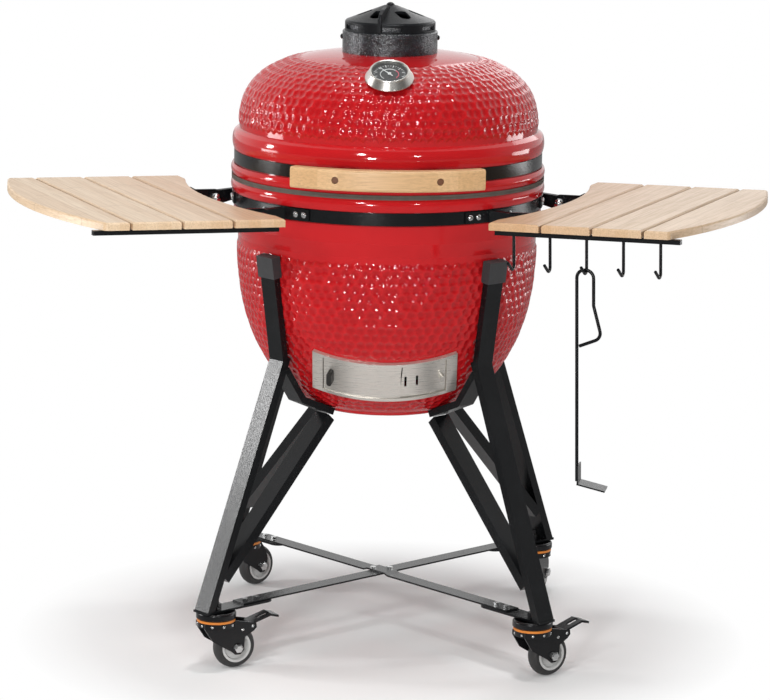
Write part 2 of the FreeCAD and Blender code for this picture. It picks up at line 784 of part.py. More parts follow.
def vent_cap():
    low = vent_top() + cap_gap
    eave = low + cap_rim_height
    inner = cap_radius - cap_wall
    profile = outline(
        point(vent_bolt_radius + running_clearance, cap_peak() - 4), (point(14, cap_peak() - 5),),
        (point(inner, eave - cap_wall),), (point(inner, low),), (point(cap_radius, low),),
        (point(cap_radius, eave - 2),), (point(cap_radius - 2.5, eave + 1),), (point(15, cap_peak() - 1.5),),
        (point(11, cap_peak()),), (point(vent_bolt_radius + running_clearance, cap_peak()),))
    cap = turned(profile)
    cap = cap.cut(window_cutter(inner - 3, cap_radius + 2, low + 3.5, low + 11.5, 30, 30))
    petals = []
    for k in range(window_count):
        petal = Part.makeBox(17, 22, 60, Vector(32, -11, low)).fuse(Part.makeCylinder(11, 60, point(49, low)))
        petals.append(petal.rotated(ORIGIN, UP, 360.0 / window_count * k))
    return cap.cut(group(petals))


def vent_lever():
    """The bent strap that turns the cap: it springs from the crown and drops past the rim."""
    eave = vent_top() + cap_gap + cap_rim_height
    reach = cap_radius + 2
    slope = (cap_peak() - eave) / (cap_radius - 2.5 - 15)
    sink = 1.5
    top = cap_peak() + 1.0
    corners = [(16, top - 2.5), (38, top), (60, top - 4), (reach - 4, top - 11), (reach + 3, top - 20),
               (reach + 3, vent_top() + 2), (reach, vent_top() + 2), (reach, eave - 4), (cap_radius - 2, eave - 4),
               (cap_radius - 4, eave - sink), (cap_radius - 34, eave + 30 * slope - sink)]
    return slab(corners, 6, -3).rotated(ORIGIN, UP, FRONT - 13)


def vent_bolts():
    """The pivot bolt of the cap with its acorn nut, and the two bolts that clamp the collar."""
    shank = rod(point(0, vent_top() - 14), point(0, cap_peak() + 1), vent_bolt_radius)
    acorn = dome_head(point(0, cap_peak() + 0.4), UP, 7, 5)
    head = hexagon(point(0, vent_top() - 8), Vector(0, 0, -1), 7, 5)
    pivot = fused([shank, acorn, head])
    sides = [dome_head(Vector(side * collar_radius, 0, vent_land() + 26), Vector(side, 0, 0), 4.5, 4)
             for side in (-1, 1)]
    return group([pivot] + sides)


# ---------------------------------------------------------------- draft door

def draft_depths():
    """Depths of the back plate, the inner slide, the outer door and the lips, from the seat outwards."""
    plate = (band_clearance, band_clearance + 1.5)
    screen = (plate[1] + slide_gap, plate[1] + slide_gap + sheet)
    door = (screen[1] + slide_gap, screen[1] + slide_gap + sheet)
    lip = (door[1] + slide_gap, door[1] + slide_gap + sheet)
    return plate, screen, door, lip


def draft_frame():
    plate, screen, door, lip = draft_depths()
    half = draft_half_angle()
    full = (-half, half)
    length = draft_span
    back = draft_sector((0, length), plate, full)
    opening = (window_inset, length - window_inset)
    back = back.cut(draft_sector(opening, (-2, 4), (end_angle + 1 - half, half - end_angle - 1)))
    rails = [draft_sector(span, (plate[0], lip[1]), full)
             for span in ((0, rail_width), (length - rail_width, length))]
    lips = [draft_sector(span, lip, full) for span in ((0, lip_width), (length - lip_width, length))]
    ends = [draft_sector((0, length), (plate[0], lip[1]), span)
            for span in ((-half, -half + end_angle), (half - end_angle, half))]
    return fused([back] + rails + lips + ends)


def slide_span():
    return rail_width + slide_gap, draft_span - rail_width - slide_gap


def slide_start():
    return draft_half_angle() - end_angle - 0.3


def draft_door():
    door = draft_depths()[2]
    return draft_sector(slide_span(), door, (-slide_start(), door_overlap))


def draft_screen():
    """The inner slide, pierced with rows of slots that let air in and keep embers back."""
    screen = draft_depths()[1]
    plate = draft_sector(slide_span(), screen, (-door_overlap, slide_start()))
    middle = draft_span / 2
    slots = []
    for k in range(screen_slots):
        angle = screen_slot_pitch * (k - (screen_slots - 1) / 2) + (slide_start() - door_overlap) / 2 + 1
        slots.append(draft_sector((middle - screen_slot_length / 2, middle + screen_slot_length / 2),
                                  (screen[0] - 1, screen[1] + 1), (angle, angle + 0.9)))
    return plate.cut(group(slots))


def finger_tab(angle, depth, width, height, reach):
    """An upright oval knob on a slide: a round-ended block that stands out from the sheet."""
    half = height / 2 - width / 2
    block = Part.makeBox(width, reach, 2 * half, Vector(-width / 2, 0, -half))
    ends = [Part.makeCylinder(width / 2, reach, Vector(0, 0, side * half), Vector(0, 1, 0)) for side in (-1, 1)]
    knob = fused([block] + ends).translated(Vector(0, -draft_radius() - depth - reach, 0))
    return draft_seated(knob.rotated(ORIGIN, UP, angle))


def draft_knobs():
    plate, screen, door, lip = draft_depths()
    door_knob = finger_tab(3.2 - slide_start(), door[1], 9, 30, 13)
    screen_knob = finger_tab(slide_start() - 1.8, screen[1], 8, 12, 9)
    return door_knob, screen_knob


# ---------------------------------------------------------------- side shelves

def shelf_placed(shape, side):
    """Move a shape from the right shelf's frame (u, v, w from its hinge line) into the grill's frame."""
    tilted = placed(shape, Rotation(Vector(0, 1, 0), -shelf_rise), Vector(shelf_pivot_u, 0, shelf_pivot_z))
    return bracket_placed(tilted, side)


def bracket_placed(shape, side):
    """Turn a shape from the right shelf's level frame, and mirror it for the left."""
    moved = shape.rotated(ORIGIN, UP, -shelf_turn)
    if side < 0:
        moved = moved.mirror(ORIGIN, Vector(1, 0, 0))
    return moved


def shelf_outline():
    """The shelf from above: its inner edge goes round the bowl and its outer edge is bowed."""
    def at(u, v):
        return Vector(u - shelf_pivot_u, v, 0)
    middle = (shelf_front + shelf_back) / 2
    inset = 38.0
    round_off = 9.0
    return outline(
        at(shelf_inner_end, shelf_front), (at(shelf_outer_end - 4, shelf_front),),
        (at(shelf_outer_end, shelf_front + 2), at(shelf_outer_end + 3, shelf_front + 8)),
        (at(shelf_outer_mid, middle), at(shelf_outer_back + 1, shelf_back - round_off)),
        (at(shelf_outer_back - 2, shelf_back - 2), at(shelf_outer_back - round_off, shelf_back)),
        (at(shelf_inner_end, shelf_back),), (at(shelf_inner_end, shelf_back - inset),),
        (at(shelf_inner_mid, middle), at(shelf_inner_end, shelf_front + inset)))


def shelf_slats(side):
    top = shelf_top
    board = Part.Face(shelf_outline()).extrude(Vector(0, 0, slat_thickness))
    board = board.translated(Vector(0, 0, top - slat_thickness))
    slats = []
    for k in range(slat_count):
        start = first_gap_u - shelf_pivot_u + (k - 1) * slat_pitch
        width = slat_pitch - slat_gap
        if k == 0 or k == slat_count - 1:
            width += slat_pitch
            start -= slat_pitch if k == 0 else 0
        length = shelf_back - shelf_front + 20
        strip_box = Part.makeBox(width, length, slat_thickness + 2,
                                 Vector(start + slat_gap / 2, shelf_front - 10, top - slat_thickness - 1))
        slat = board.common(strip_box)
        rims = [edge for edge in slat.Edges if all(abs(vertex.Z - top) < 1e-6 for vertex in edge.Vertexes)]
        slats.append(shelf_placed(slat.makeChamfer(slat_round, rims), side))
    return group(slats)


def shelf_frame(side):
    """Two upright arms under the slats and a hook rail along the front ends."""
    half = arm_height / 2
    under = shelf_top - slat_thickness - 0.3
    reach = arm_reach - shelf_pivot_u
    parts = []
    for v in arm_v:
        corners = [(0, -half), (40, -half), (75, under - 13), (reach, under - 13), (reach, under), (44, under),
                   (36, half), (0, half)]
        bar = slab(corners, arm_thickness, v - arm_thickness / 2)
        heel = Part.makeCylinder(half, arm_thickness, Vector(0, v - arm_thickness / 2, 0), Vector(0, 1, 0))
        arm = fused([bar, heel])
        bore = Part.makeCylinder(shelf_bolt_radius + running_clearance, arm_thickness + 4,
                                 Vector(0, v - arm_thickness / 2 - 2, 0), Vector(0, 1, 0))
        parts.append(arm.cut(bore))
    start = shelf_inner_end - shelf_pivot_u + 8
    length = shelf_outer_end + 10 - shelf_inner_end
    parts.append(Part.makeBox(length, rail_thickness, rail_depth,
                              Vector(start, shelf_front + rail_inset, under - rail_depth)))
    back_length = shelf_outer_end - 30 - shelf_inner_end
    parts.append(Part.makeBox(back_length, rail_thickness, rail_depth,
                              Vector(start, shelf_back - rail_inset - rail_thickness, under - rail_depth)))
    return group([shelf_placed(shape, side) for shape in parts])


def ear_ranges(v):
    """Where the two ears of a bracket lie on either side of an arm."""
    inner = arm_thickness / 2 + ear_gap
    return (v - inner - ear_thickness, v + inner)


def shelf_brackets():
    """Four brackets: a curved plate bolted to the base band, with two ears that hold a shelf's arm."""
    brackets = []
    half = arm_height / 2 - 2
    low = base_band_z + 1
    high = base_band_z + band_width - 1
    for side in (-1, 1):
        for v in arm_v:
            middle = math.degrees(math.asin(v / band_outer))
            plate = turned(polygon([point(band_outer, low), point(band_outer + bracket_plate, low),
                                    point(band_outer + bracket_plate, high), point(band_outer, high)]),
                           middle - 11.5, 23)
            ears = []
            for start in ear_ranges(v):
                root = math.sqrt(band_outer ** 2 - max(abs(start), abs(start + ear_thickness)) ** 2)
                corners = [(root, low - shelf_pivot_z), (shelf_pivot_u, -half), (shelf_pivot_u, half),
                           (root, high - shelf_pivot_z)]
                ear = slab(corners, ear_thickness, start)
                nose = Part.makeCylinder(half, ear_thickness, Vector(shelf_pivot_u, start, 0), Vector(0, 1, 0))
                ears.append(ear.fuse(nose).translated(Vector(0, 0, shelf_pivot_z)))
            bracket = fused([plate] + ears).cut(Part.makeCylinder(band_outer, high + 50))
            bore = Part.makeCylinder(shelf_bolt_radius + 0.1, 40, Vector(shelf_pivot_u, v - 20, shelf_pivot_z),
                                     Vector(0, 1, 0))
            brackets.append(bracket_placed(bracket.cut(bore), side))
    return group(brackets)


def shelf_pivot_bolts():
    bolts = []
    for side in (-1, 1):
        for v in arm_v:
            face = arm_thickness / 2 + ear_gap + ear_thickness
            shank = rod(Vector(shelf_pivot_u, v - face - 4, shelf_pivot_z),
                        Vector(shelf_pivot_u, v + face, shelf_pivot_z), shelf_bolt_radius)
            nut = dome_head(Vector(shelf_pivot_u, v - face, shelf_pivot_z), Vector(0, -1, 0), 9, 12)
            head = hexagon(Vector(shelf_pivot_u, v + face, shelf_pivot_z), Vector(0, 1, 0), 7.5, 5)
            bolts.append(bracket_placed(fused([shank, nut, head]), side))
    return group(bolts)


def bracket_bolts():
    bolts = []
    face = band_outer + bracket_plate
    z = base_band_z + band_width / 2
    for side in (-1, 1):
        for v in arm_v:
            middle = math.degrees(math.asin(v / band_outer))
            for offset in (-9.5, -6.0, 6.0, 9.5):
                head = dome_head(point(face, z), Vector(1, 0, 0), 5, 4)
                bolts.append(bracket_placed(head.rotated(ORIGIN, UP, middle + offset), side))
    return bolts


# ---------------------------------------------------------------- hooks and rake

def bent_rod(points, radius, bend):
    """A round wire through a list of points, with each corner turned on an arc."""
    edges = []
    here = points[0]
    for before, corner, after in zip(points, points[1:], points[2:]):
        a = (before - corner).normalize()
        b = (after - corner).normalize()
        half = a.getAngle(b) / 2
        cut = bend / math.tan(half)
        start = corner + a * cut
        end = corner + b * cut
        middle = corner + (a + b).normalize() * (bend / math.sin(half) - bend)
        edges.append(Part.LineSegment(here, start).toShape())
        edges.append(Part.Arc(start, middle, end).toShape())
        here = end
    edges.append(Part.LineSegment(here, points[-1]).toShape())
    path = Part.Wire(edges)
    first = points[1] - points[0]
    section = Part.Wire(Part.Circle(points[0], first, radius).toShape())
    return path.makePipeShell([section], True, False)


def hook_middle(k):
    """The foot of a hook's upright, in the shelf's frame."""
    under = shelf_top - slat_thickness - 0.3 - rail_depth
    return Vector(hook_first_u - shelf_pivot_u + k * hook_pitch, shelf_front + rail_inset + rail_thickness / 2,
                  under - hook_drop)


def shelf_hooks():
    hooks = []
    for k in range(hook_count):
        foot = hook_middle(k)
        top = foot + Vector(0, 0, hook_drop)
        tip = foot + Vector(0, -hook_reach, hook_tip)
        hooks.append(shelf_placed(bent_rod([top, foot, tip], hook_wire, hook_bend), 1))
    return group(hooks)


def rake_top():
    """Middle of the loop's wire where it hangs in the trough of its hook, in the shelf's frame."""
    half = math.atan2(hook_reach, hook_tip) / 2
    trough = hook_middle(rake_hook) + Vector(0, -hook_bend, hook_bend / math.tan(half) - hook_bend)
    return trough + Vector(0, 0, hook_wire + rake_wire + rake_seat_gap)


def ash_rake():
    """A wire whose upper end is bent into a long loop, with a hoe blade welded to its lower end."""
    top = rake_top()
    r = rake_loop_radius
    right = top + Vector(r, 0, 0)
    back = top + Vector(-r, 0, -rake_loop_length)
    wire = bent_rod([
        top + Vector(-r, 0, -rake_length), top + Vector(-r, 0, 0), right,
        right + Vector(0, 0, -rake_loop_length * 0.46),
        back + Vector(rake_loop_bulge + 3, 0, rake_loop_length * 0.12),
        back + Vector(rake_wire * 1.6, 0, 0)], rake_wire, r * 0.92)
    length, width, thickness = rake_blade
    blade = Part.makeBox(length, width, thickness, Vector(0, -width / 2, -thickness))
    blade.rotate(ORIGIN, Vector(0, 1, 0), rake_blade_drop)
    flange = Part.makeBox(thickness, width, rake_flange, Vector(0, -width / 2, -thickness))
    hoe = fused([blade, flange]).rotated(ORIGIN, UP, rake_blade_turn)
    hoe.translate(top + Vector(-r + rake_wire - 0.6, 0, -rake_length))
    return shelf_placed(fused([wire, hoe]), 1)


# ---------------------------------------------------------------- stand

def around(shape, corner):
    """Turn a shape drawn in the XZ plane to one of the stand's corners."""
    return shape.rotated(ORIGIN, UP, corner + stand_turn)


def beside_bowl(z, side):
    """A point of the stand's outline, at a height and a distance out from the bowl's surface."""
    return bowl_outside(z) + side, z


def post_top():
    return beside_bowl(bowl_top_z - post_top_drop, post_top_side)


def junction():
    return beside_bowl(foot_z + junction_rise, junction_side)


def knee():
    return beside_bowl(foot_z + knee_rise, knee_side)


def arm_end():
    return beside_bowl(foot_z + arm_end_rise, arm_end_side)


def post_foot():
    return junction()[0], junction()[1] - 8


def stand_leg():
    """A post, a splayed leg, the arm that carries the bowl, a brace and a foot tab, all welded."""
    junction_x, junction_z = junction()
    arm_start = (junction_x - 2, junction_z - 14)
    post = strip(post_top(), post_foot(), post_thickness, tube_width)
    slope = (leg_foot[0] - junction_x) / (junction_z - leg_foot[1])
    leg = strip((junction_x - 8 * slope, junction_z + 8), (leg_foot[0] + 20 * slope, leg_foot[1] - 20),
                leg_thickness, tube_width)
    below = Part.makeBox(200, tube_width + 2, 60, Vector(300, -tube_width / 2 - 1, leg_foot[1] - 60))
    leg = leg.cut(below)
    upper = strip(arm_start, knee(), post_thickness, tube_width)
    lower = strip(knee(), arm_end(), post_thickness, tube_width)
    elbow = Part.makeCylinder(post_thickness / 2, tube_width, Vector(knee()[0], -tube_width / 2, knee()[1]),
                             Vector(0, 1, 0))
    brace = strip((arm_end()[0] + 6, arm_end()[1] - 9), brace_low, brace_thickness, tube_width)
    tab_z = leg_foot[1] - tab_thickness
    tab = Part.makeBox(tab_outer - tab_inner, tube_width, tab_thickness,
                       Vector(tab_inner, -tube_width / 2, tab_z))
    nose = Part.makeCylinder(tube_width / 2, tab_thickness, Vector(tab_inner, 0, tab_z))
    unit = fused([post, leg, upper, elbow, lower, brace, tab, nose])
    holes = [Part.makeCylinder(bolt_radius + 0.1, 30, Vector(x, 0, tab_z - 10)) for x in bar_bolts]
    holes.append(Part.makeCylinder(stem_bolt_radius + 0.1, 6, Vector(caster_reach, 0, tab_z - 1)))
    return unit.cut(group(holes))


def stand_legs():
    return group([around(stand_leg(), corner) for corner in caster_corners.values()])


def post_caps():
    """Rubber sleeves over the tops of the posts, which keep the bowl from touching steel."""
    run = (point(*post_top()) - point(*post_foot())).normalize()
    low = point(*post_top()) - run * (cap_height - cap_skin)
    high = point(*post_top()) + run * cap_skin
    outer = strip((low.x, low.z), (high.x, high.z), post_thickness + 2 * cap_skin, tube_width + 2 * cap_skin)
    inner = strip((low.x, low.z), post_top(), post_thickness + 0.1, tube_width + 0.1)
    cap = outer.cut(inner)
    return group([around(cap, corner) for corner in caster_corners.values()])


def cross_bars():
    """Two flat bars tie opposite tabs together. The second is joggled up over the first."""
    low = leg_foot[1]
    first = Part.makeBox(2 * bar_reach, bar_width, bar_thickness, Vector(-bar_reach, -bar_width / 2, low))
    rise = bar_thickness + 0.2
    near = bar_width * 0.75
    far = near + 3 * rise
    upper = [(-bar_reach, low + bar_thickness), (-far, low + bar_thickness), (-near, low + bar_thickness + rise),
             (near, low + bar_thickness + rise), (far, low + bar_thickness), (bar_reach, low + bar_thickness)]
    lower = [(x, z - bar_thickness) for x, z in reversed(upper)]
    second = slab(upper + lower, bar_width, -bar_width / 2)
    bores = [Part.makeCylinder(bolt_radius + 0.1, 30, Vector(side * x, 0, low - 10))
             for x in bar_bolts for side in (-1, 1)]
    bars = []
    for bar, corner in ((first, 225.0), (second, 315.0)):
        bars.append(around(bar.cut(group(bores)), corner).cut(group(cross_bolt_holes())))
    return group(bars)


def cross_bolt_places():
    """Two bolts where the bars cross, side by side across the front."""
    return [Vector(side * cross_bolt_pitch / 2, 0, leg_foot[1]) for side in (-1, 1)]


def cross_bolt_holes():
    return [Part.makeCylinder(bolt_radius + 0.1, 30, place - Vector(0, 0, 10)) for place in cross_bolt_places()]


def through_bolt(foot, grip):
    """A bolt that clamps a stack: head above, nut below."""
    shank = Part.makeCylinder(bolt_radius, grip + 2, foot - Vector(0, 0, 1))
    head = hexagon(foot + Vector(0, 0, grip), UP, bolt_radius * 1.8, 4)
    nut = hexagon(foot, Vector(0, 0, -1), bolt_radius * 1.8, 4)
    return fused([shank, head, nut])


def stand_bolts():
    tab_z = leg_foot[1] - tab_thickness
    bolts = []
    for corner in caster_corners.values():
        for x in bar_bolts:
            bolts.append(around(through_bolt(Vector(x, 0, tab_z), tab_thickness + bar_thickness), corner))
    bolts += [through_bolt(place, 2 * bar_thickness + 0.2) for place in cross_bolt_places()]
    return group(bolts)


# ---------------------------------------------------------------- casters

def caster_centre(name):
    angle = math.radians(caster_corners[name] + stand_turn)
    return Vector(caster_reach * math.cos(angle), caster_reach * math.sin(angle), 0)


def at_caster(shape, name, follow=True):
    """Place a shape drawn about a swivel axis, with the wheel trailing along +X."""
    turn = caster_turns[name] if follow else 0.0
    return shape.rotated(ORIGIN, UP, turn).translated(caster_centre(name))


def caster_mounts():
    """The fixed upper race of each caster, its threaded stem, and the nut above the stand's tab."""
    low = caster_top_z - race_height
    race = turned(outline(point(0, low), (point(race_radius - 2, low),), (point(race_radius, low + 2),),
                          (point(race_radius, caster_top_z - 4),),
                          (point(race_radius - 1.2, caster_top_z - 1.2), point(race_radius - 4, caster_top_z))))
    stem = Part.makeCylinder(stem_bolt_radius, 22, point(0, caster_top_z))
    nut = hexagon(point(0, leg_foot[1]), UP, stem_bolt_radius * 1.85, 9)
    mount = fused([race, stem, nut])
    return group([at_caster(mount, name, False) for name in caster_corners])


def seal_low():
    return caster_top_z - race_height - 0.3 - seal_height


def caster_seals():
    seal = ring(24.0, race_radius - 1.5, seal_low(), seal_low() + seal_height)
    return group([at_caster(seal, name, False) for name in caster_corners])


def cheek_offset():
    return wheel_width / 2 + fork_gap


def caster_fork(name):
    """A pressed fork: a round crown, two tapering cheeks, the axle bolt and, on a braked caster, the pin."""
    top = seal_low() - 0.3
    crown_low = 2 * wheel_radius + 2.0
    crown_disc = Part.makeCylinder(race_radius - 2, top - crown_low, point(0, crown_low))
    pivot_x, pivot_z = pedal_pivot
    braked_here = name in braked
    corners = [(-race_radius + 5, top), (-race_radius + 5, top - 9), (-14, wheel_radius + 16),
               (trail - 12, wheel_radius - 6), (trail - 5, wheel_radius - 12), (trail + 5, wheel_radius - 12),
               (trail + 12, wheel_radius - 5), (trail + 13, wheel_radius + 18)]
    if braked_here:
        corners += [(pivot_x + 2, pivot_z - 9), (pivot_x + 8, pivot_z - 3), (pivot_x + 7, pivot_z + 5),
                    (race_radius - 5, top)]
    else:
        corners += [(race_radius + 4, top - 14), (race_radius - 5, top)]
    cheeks = [slab(corners, fork_plate, y) for y in (cheek_offset(), -cheek_offset() - fork_plate)]
    half = cheek_offset() + fork_plate
    axle = Part.makeCylinder(axle_radius, 2 * half, Vector(trail, -half, wheel_radius), Vector(0, 1, 0))
    nuts = [hexagon(Vector(trail, side * half, wheel_radius), Vector(0, side, 0), axle_radius * 1.75, 5)
            for side in (-1, 1)]
    parts = [crown_disc] + cheeks + [axle] + nuts
    if braked_here:
        parts.append(Part.makeCylinder(pedal_pin_radius, 2 * half, Vector(pivot_x, -half, pivot_z),
                                       Vector(0, 1, 0)))
    return at_caster(fused(parts), name)


def wheel_profile(corners):
    """Revolve a half section about the wheel's axle."""
    disc = turned(corners)
    return placed(disc, Rotation(Vector(1, 0, 0), -90), Vector(trail, 0, wheel_radius))


def caster_tyre(name):
    half = wheel_width / 2
    inner = wheel_radius - tyre_depth
    profile = outline(point(inner, -half + 1), (point(wheel_radius - 5, -half + 1),),
                      (point(wheel_radius, 0), point(wheel_radius - 5, half - 1)), (point(inner, half - 1),))
    return at_caster(wheel_profile(profile), name)


def caster_hub(name):
    half = wheel_width / 2
    inner = wheel_radius - tyre_depth - 0.05
    bore = axle_radius + running_clearance
    profile = outline(
        point(bore, -half), (point(9, -half),), (point(10, -half + 6),), (point(inner - 6, -half + 6),),
        (point(inner - 4, -half),), (point(inner, -half),), (point(inner, half),), (point(inner - 4, half),),
        (point(inner - 6, half - 6),), (point(10, half - 6),), (point(9, half),), (point(bore, half),))
    return at_caster(wheel_profile(profile), name)


def brake_pedal(name):
    """A foot pedal with a finger slot, hinged on the fork's pin by its rolled eye."""
    width = 2 * cheek_offset() - 1.5
    half = width / 2
    pivot_x, pivot_z = pedal_pivot
    eye = Part.makeCylinder(pedal_barrel, width, Vector(pivot_x, -half, pivot_z), Vector(0, 1, 0))
    end_x = pivot_x + pedal_length
    end_z = pivot_z + pedal_rise
    t = pedal_plate
    corners = [(pivot_x, pivot_z + pedal_barrel - t), (end_x - 16, end_z - t + 1), (end_x, end_z - t - 3),
               (end_x, end_z - 3), (end_x - 15, end_z + 1), (pivot_x, pivot_z + pedal_barrel)]
    tread = slab(corners, width, -half)
    slot = Part.makeBox(16, 9, 60, Vector(end_x - 34, -4.5, pivot_z - 10))
    rounds = [Part.makeCylinder(4.5, 60, Vector(x, 0, pivot_z - 10)) for x in (end_x - 34, end_x - 18)]
    pedal = fused([eye, tread]).cut(group([slot] + rounds))
    bore = Part.makeCylinder(pedal_pin_radius + running_clearance, width + 2,
                             Vector(pivot_x, -half - 1, pivot_z), Vector(0, 1, 0))
    return at_caster(pedal.cut(bore), name)


# ---------------------------------------------------------------- the assembly

def assembly():
    """Every piece by name."""
    door_knob, screen_knob = draft_knobs()
    pieces = {
        "base_shell": base_shell(), "lid_shell": lid_shell(), "fire_box": fire_box(),
        "charcoal_grate": charcoal_grate(), "fire_ring": fire_ring(), "cooking_grid": cooking_grid(),
        "base_gasket": gasket(base_rim_z), "lid_gasket": gasket(lid_rim_z - felt),
        "base_band": band(base_band_z), "lid_band": band(lid_band_z),
        "base_band_bolts": group([lug_bolt(base_band_z)] + bracket_bolts()),
        "lid_band_bolt": lug_bolt(lid_band_z),
        "hinge_base_bracket": hinge_base_bracket(), "hinge_lid_bracket": hinge_lid_bracket(),
        "hinge_pin": hinge_pin(), "hinge_springs": hinge_springs(),
        "lid_handle": lid_handle(), "handle_brackets": handle_brackets(), "handle_bolts": handle_bolts(),
        "gauge_bezel": gauge_bezel(),
        "gauge_dial": gauge_disc(dial_radius, 4.5 + 7.2, 0.8, 1.05),
        "gauge_glass": gauge_disc(dial_radius, 4.5 + 11.5, 1.8),
        "gauge_needle": gauge_needle(), "gauge_stem": gauge_stem(),
        "vent_collar": vent_collar(), "vent_cap": vent_cap().fuse(vent_lever()).removeSplitter(),
        "vent_bolts": vent_bolts(),
        "draft_frame": draft_frame(), "draft_door": draft_door(), "draft_screen": draft_screen(),
        "draft_door_knob": door_knob, "draft_screen_knob": screen_knob,
        "shelf_brackets": shelf_brackets(), "shelf_pivot_bolts": shelf_pivot_bolts(),
        "left_shelf_slats": shelf_slats(-1), "right_shelf_slats": shelf_slats(1),
        "left_shelf_frame": shelf_frame(-1), "right_shelf_frame": shelf_frame(1),
        "shelf_hooks": shelf_hooks(), "ash_rake": ash_rake(),
        "stand_legs": stand_legs(), "post_caps": post_caps(), "cross_bars": cross_bars(),
        "stand_bolts": stand_bolts(), "caster_mounts": caster_mounts(), "caster_seals": caster_seals(),
    }
    for name in caster_corners:
        pieces[name + "_fork"] = caster_fork(name)
        pieces[name + "_tyre"] = caster_tyre(name)
        pieces[name + "_hub"] = caster_hub(name)
    for name in braked:
        pieces[name + "_pedal"] = brake_pedal(name)
    return pieces


os.makedirs("parts", exist_ok=True)
for piece_name, piece in assembly().items():
    piece.exportStep("parts/" + piece_name + ".step")
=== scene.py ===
import json
import math
import random

import bmesh
import bpy
from mathutils import Matrix, Vector, kdtree


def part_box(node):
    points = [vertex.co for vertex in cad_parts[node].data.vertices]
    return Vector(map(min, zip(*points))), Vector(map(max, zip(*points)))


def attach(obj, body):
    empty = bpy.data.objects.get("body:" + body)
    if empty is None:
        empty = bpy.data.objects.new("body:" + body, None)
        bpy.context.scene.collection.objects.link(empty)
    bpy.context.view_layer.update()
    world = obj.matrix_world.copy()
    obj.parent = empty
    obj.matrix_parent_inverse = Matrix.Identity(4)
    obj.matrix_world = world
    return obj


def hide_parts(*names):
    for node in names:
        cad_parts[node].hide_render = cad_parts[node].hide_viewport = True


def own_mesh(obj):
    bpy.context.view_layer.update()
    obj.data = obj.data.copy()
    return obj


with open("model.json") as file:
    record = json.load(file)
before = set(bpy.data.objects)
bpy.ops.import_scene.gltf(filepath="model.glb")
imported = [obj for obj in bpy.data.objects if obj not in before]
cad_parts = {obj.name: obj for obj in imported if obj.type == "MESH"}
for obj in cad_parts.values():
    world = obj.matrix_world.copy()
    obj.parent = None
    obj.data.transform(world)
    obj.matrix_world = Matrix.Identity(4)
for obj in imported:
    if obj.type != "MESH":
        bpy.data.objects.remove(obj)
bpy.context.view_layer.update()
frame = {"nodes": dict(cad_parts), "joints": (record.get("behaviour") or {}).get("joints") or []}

nodes = frame["nodes"]


# ---------------------------------------------------------------- camera
# A long lens, six metres in front of the grill and a little above its lid.
# It looks down by eleven degrees and is rolled by one, so the right side sits lower.

bpy.context.scene.view_settings.view_transform = "Standard"
camera = bpy.data.objects.new("camera", bpy.data.cameras.new("camera"))
bpy.context.scene.collection.objects.link(camera)
bpy.context.scene.camera = camera
camera.data.lens = 160.85
camera.data.sensor_width = 36.0
camera.data.clip_end = 60.0
camera_pitch = 0.1948
camera_roll = 0.0162
camera_place = Matrix.Translation((0.0, -6.0283, 1.7075))
camera_tilt = Matrix.Rotation(math.pi / 2 - camera_pitch, 4, "X") @ Matrix.Rotation(camera_roll, 4, "Z")
camera.matrix_world = camera_place @ camera_tilt


# ---------------------------------------------------------------- studio
# A white floor and surround, lit by panels at the sides and by smaller lamps in front and above.
# The surround is white to the camera and dimmer as a light. Glaze and metal mirror it white behind
# the grill and dark on the camera's side, as in a real studio.

class Field:
    """A socket of a node tree. Arithmetic on it adds Math nodes."""

    def __init__(self, tree, socket):
        self.tree = tree
        self.socket = socket

    def maths(self, operation, *others):
        return self.tree.add("ShaderNodeMath", {"operation": operation}, dict(enumerate((self,) + others)))

    def __add__(self, other):
        return self.maths("ADD", other)

    def __sub__(self, other):
        return self.maths("SUBTRACT", other)

    def __rsub__(self, other):
        return self.tree.add("ShaderNodeMath", {"operation": "SUBTRACT"}, {0: other, 1: self})

    def __mul__(self, other):
        return self.maths("MULTIPLY", other)

    def __truediv__(self, other):
        return self.maths("DIVIDE", other)

    __radd__ = __add__
    __rmul__ = __mul__


class Tree:
    """A node tree, emptied, with one method that adds any node to it."""

    def __init__(self, owner):
        owner.use_nodes = True
        self.tree = owner.node_tree
        self.tree.nodes.clear()

    def add(self, kind, settings=(), values=(), output=0):
        node = self.tree.nodes.new(kind)
        for name, setting in dict(settings).items():
            setattr(node, name, setting)
        for key, value in dict(values).items():
            socket = node.inputs[key]
            if isinstance(value, Field):
                self.tree.links.new(value.socket, socket)
            else:
                opaque = socket.type == "RGBA" and len(value) == 3
                socket.default_value = (*value, 1.0) if opaque else value
        return Field(self, node.outputs[output])

    def close(self, kind, shader):
        """End the tree in an output node."""
        output = self.tree.nodes.new(kind)
        self.tree.links.new(shader.socket, output.inputs["Surface"])

    def either(self, one, other):
        """The larger of two factors."""
        return one.maths("MAXIMUM", other)

    def seen(self):
        """1 for rays from the camera, or by way of a mirror or glass."""
        rays = [self.add("ShaderNodeLightPath", output=name)
                for name in ("Is Camera Ray", "Is Glossy Ray", "Is Transmission Ray")]
        return self.either(self.either(rays[0], rays[1]), rays[2])


